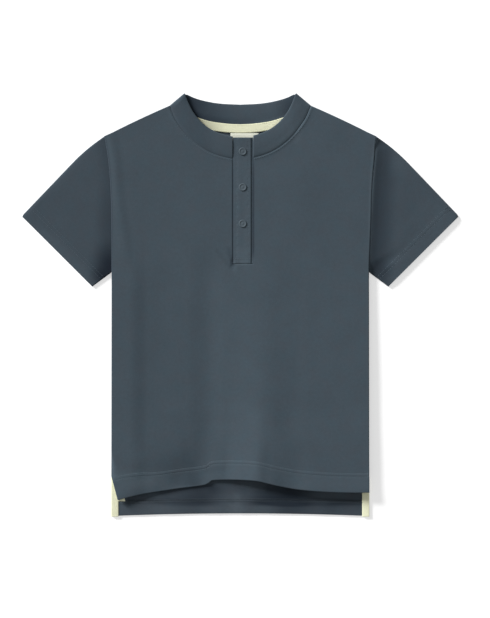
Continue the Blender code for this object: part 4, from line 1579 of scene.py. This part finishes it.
def on(surface, plan, proud=0.06 * MM):
    """A plan path laid on a surface."""
    return np.column_stack([plan, surface(plan[:, 0], plan[:, 1]) + proud])


def hem_path(distance, margin=2.0 * MM):
    """Where a row of the front's hem runs, at a distance from the hem."""
    x = spaced(FRONT_HEM[0][0] + margin, HALF_CHEST - margin, 2.0 * MM)
    return np.column_stack([x, hem_fold_y(x) + distance])


def stitching():
    """Every row of stitches that shows."""
    stitches = stitch_tree()

    def sew(name, rows, material=THREAD_SLATE, slot="jersey", **sizes):
        ride(thread(name, rows, stitches, material, **sizes), slot)

    rows = [on(front_top, hem_path(distance)) for distance in FRONT_HEM_ROWS]
    sew("front_hem_stitches", rows, Width=FRONT_HEM_THREAD)

    neck = offset(along(FRONT_SEAM_LINE, 120), -SEAM_ROW)
    rows = []
    for side, limit in ((1.0, SLOT_X[1]), (-1.0, -SLOT_X[0])):
        path = neck[(neck[:, 0] > limit + 1.0 * MM) & (neck[:, 0] < 86.0 * MM)] * np.array([side, 1.0])
        rows.append(on(front_top, path))
    sew("collar_seam_stitches", rows)

    y = spaced(PLACKET_BOTTOM_Y + 1.5 * MM, PLACKET_TOP_Y - 1.5 * MM, 1.5 * MM)
    x = spaced(TOP_STRIP_X[0] + 1.2 * MM, TOP_STRIP_X[1] - 1.2 * MM, 1.2 * MM)
    plans = [(np.full(len(y), row), y) for row in TOP_STRIP_ROWS]
    plans += [(x, np.full(len(x), PLACKET_BOTTOM_Y + up)) for up in (1.6 * MM, 6.4 * MM)]
    rows = [on(top_strip_face, np.column_stack(plan), 0.04 * MM) for plan in plans]
    sew("placket_stitches", rows, Pitch=2.6 * MM, Length=2.1 * MM)

    for name, side in (("sleeve_right", 1.0), ("sleeve_left", -1.0)):
        rows = []
        for distance in SLEEVE_HEM_ROWS:
            start = at_lengths(smooth_line(SLEEVE_TOP)[::-1], [distance])[0]
            end = at_lengths(np.vstack([[CUFF_CORNER], [UNDERARM]]), [distance])[0]
            plan = between(start, end, np.linspace(0.03, 0.97, 60)[:, None])
            height = sleeve_top(plan[:, 0], plan[:, 1], side) + REST
            run = np.linalg.norm(plan - start, axis=1)
            height += 0.4 * stitched(SLEEVE_HEM_ROWS, np.full(60, distance), run) + 0.1 * MM
            rows.append(np.column_stack([side * plan[:, 0], plan[:, 1], height]))
        sew(name + "_hem_stitches", rows)

    x = spaced(-150.0 * MM, 150.0 * MM, 3.0 * MM)
    y = back_hem_y(x) + sum(BACK_HEM_ROWS) / 2.0
    path = np.column_stack([x, y, np.full(len(x), JERSEY + 0.62 * MM)])
    ride(thread("back_hem_loops", [path], looper_tree(), THREAD_SHADED), "jersey")
    rows = [path + np.array([0.0, side * 2.0 * MM, 0.05 * MM]) for side in (-1.0, 1.0)]
    sew("back_hem_stitches", rows, THREAD_SHADED)

    lower, upper = neck_tape_lines()
    face = level(NECK_TAPE_LIFT + TAPE)
    rows = [on(face, between(lower, upper, share), 0.02 * MM) for share in (0.1, 0.9)]
    sew("neck_tape_stitches", rows, THREAD_CREAM, "tape", Pitch=2.8 * MM)


# ---------------------------------------------------------------------------------------------
# Camera, light and floor

PHOTO_WIDE_PX, PHOTO_HIGH_PX = 490, 618
MM_PER_PX = 1.25
SHIRT_CENTRE_PX = (240.3, 304.5)
CAMERA_HEIGHT = 3.0
SENSOR = 36.0


def camera():
    """Straight above the shirt, with the photo's frame on the floor."""
    data = bpy.data.cameras.new("camera")
    data.sensor_width = SENSOR
    data.lens = SENSOR * CAMERA_HEIGHT / (PHOTO_HIGH_PX * MM_PER_PX * MM)
    data.clip_start, data.clip_end = 0.1, 20.0
    thing = in_scene("camera", data)
    thing.location = (
        (PHOTO_WIDE_PX / 2.0 - SHIRT_CENTRE_PX[0]) * MM_PER_PX * MM,
        (SHIRT_CENTRE_PX[1] - PHOTO_HIGH_PX / 2.0) * MM_PER_PX * MM,
        CAMERA_HEIGHT,
    )
    bpy.context.scene.camera = thing


KEY_AZIMUTH = 140.0  # degrees from +X towards +Y
KEY_HEIGHT = 17.0
KEY_POWER = 7.5
KEY_SPREAD = 18.0
SKY = 0.39


def light():
    """One low, soft key from the upper left, and an even pale room."""
    data = bpy.data.lights.new("key", "SUN")
    data.energy = KEY_POWER
    data.angle = math.radians(KEY_SPREAD)
    thing = in_scene("key", data)
    thing.rotation_euler = (0.0, math.radians(90.0 - KEY_HEIGHT), math.radians(KEY_AZIMUTH))
    world = bpy.data.worlds.new("studio")
    world.use_nodes = True
    world.node_tree.nodes["Background"].inputs["Color"].default_value = (SKY, SKY, SKY, 1.0)
    bpy.context.scene.world = world
    bpy.context.scene.view_settings.view_transform = "Standard"


FLOOR_HALF = 4.0
FLOOR_ALBEDO = 0.66
FLOOR_GLOW = 0.49


def floor():
    """A plain white table, lit from within enough to photograph white."""
    mesh = bpy.data.meshes.new("floor")
    corners = ((-1, -1), (1, -1), (1, 1), (-1, 1))
    mesh.from_pydata([(x * FLOOR_HALF, y * FLOOR_HALF, 0.0) for x, y in corners], [], [(0, 1, 2, 3)])
    paint = Paint("white table")
    paint.finish(
        Base_Color=(FLOOR_ALBEDO, FLOOR_ALBEDO, FLOOR_ALBEDO, 1.0),
        Roughness=1.0,
        Specular_IOR_Level=0.0,
        Emission_Color=(1.0, 1.0, 1.0, 1.0),
        Emission_Strength=FLOOR_GLOW,
    )
    link("floor", mesh, paint.material)


camera()
light()
floor()
vent_trim()
back()
sleeve("sleeve_right", 1.0)
sleeve("sleeve_left", -1.0)
front()
collar()
strip("placket_under", UNDER_STRIP_X, under_strip, ())
strip("placket_top", TOP_STRIP_X, top_strip, TOP_STRIP_ROWS)
neck_trim()
for title, snap_y in SNAP_HEIGHTS.items():
    snap(title, snap_y)
stitching()
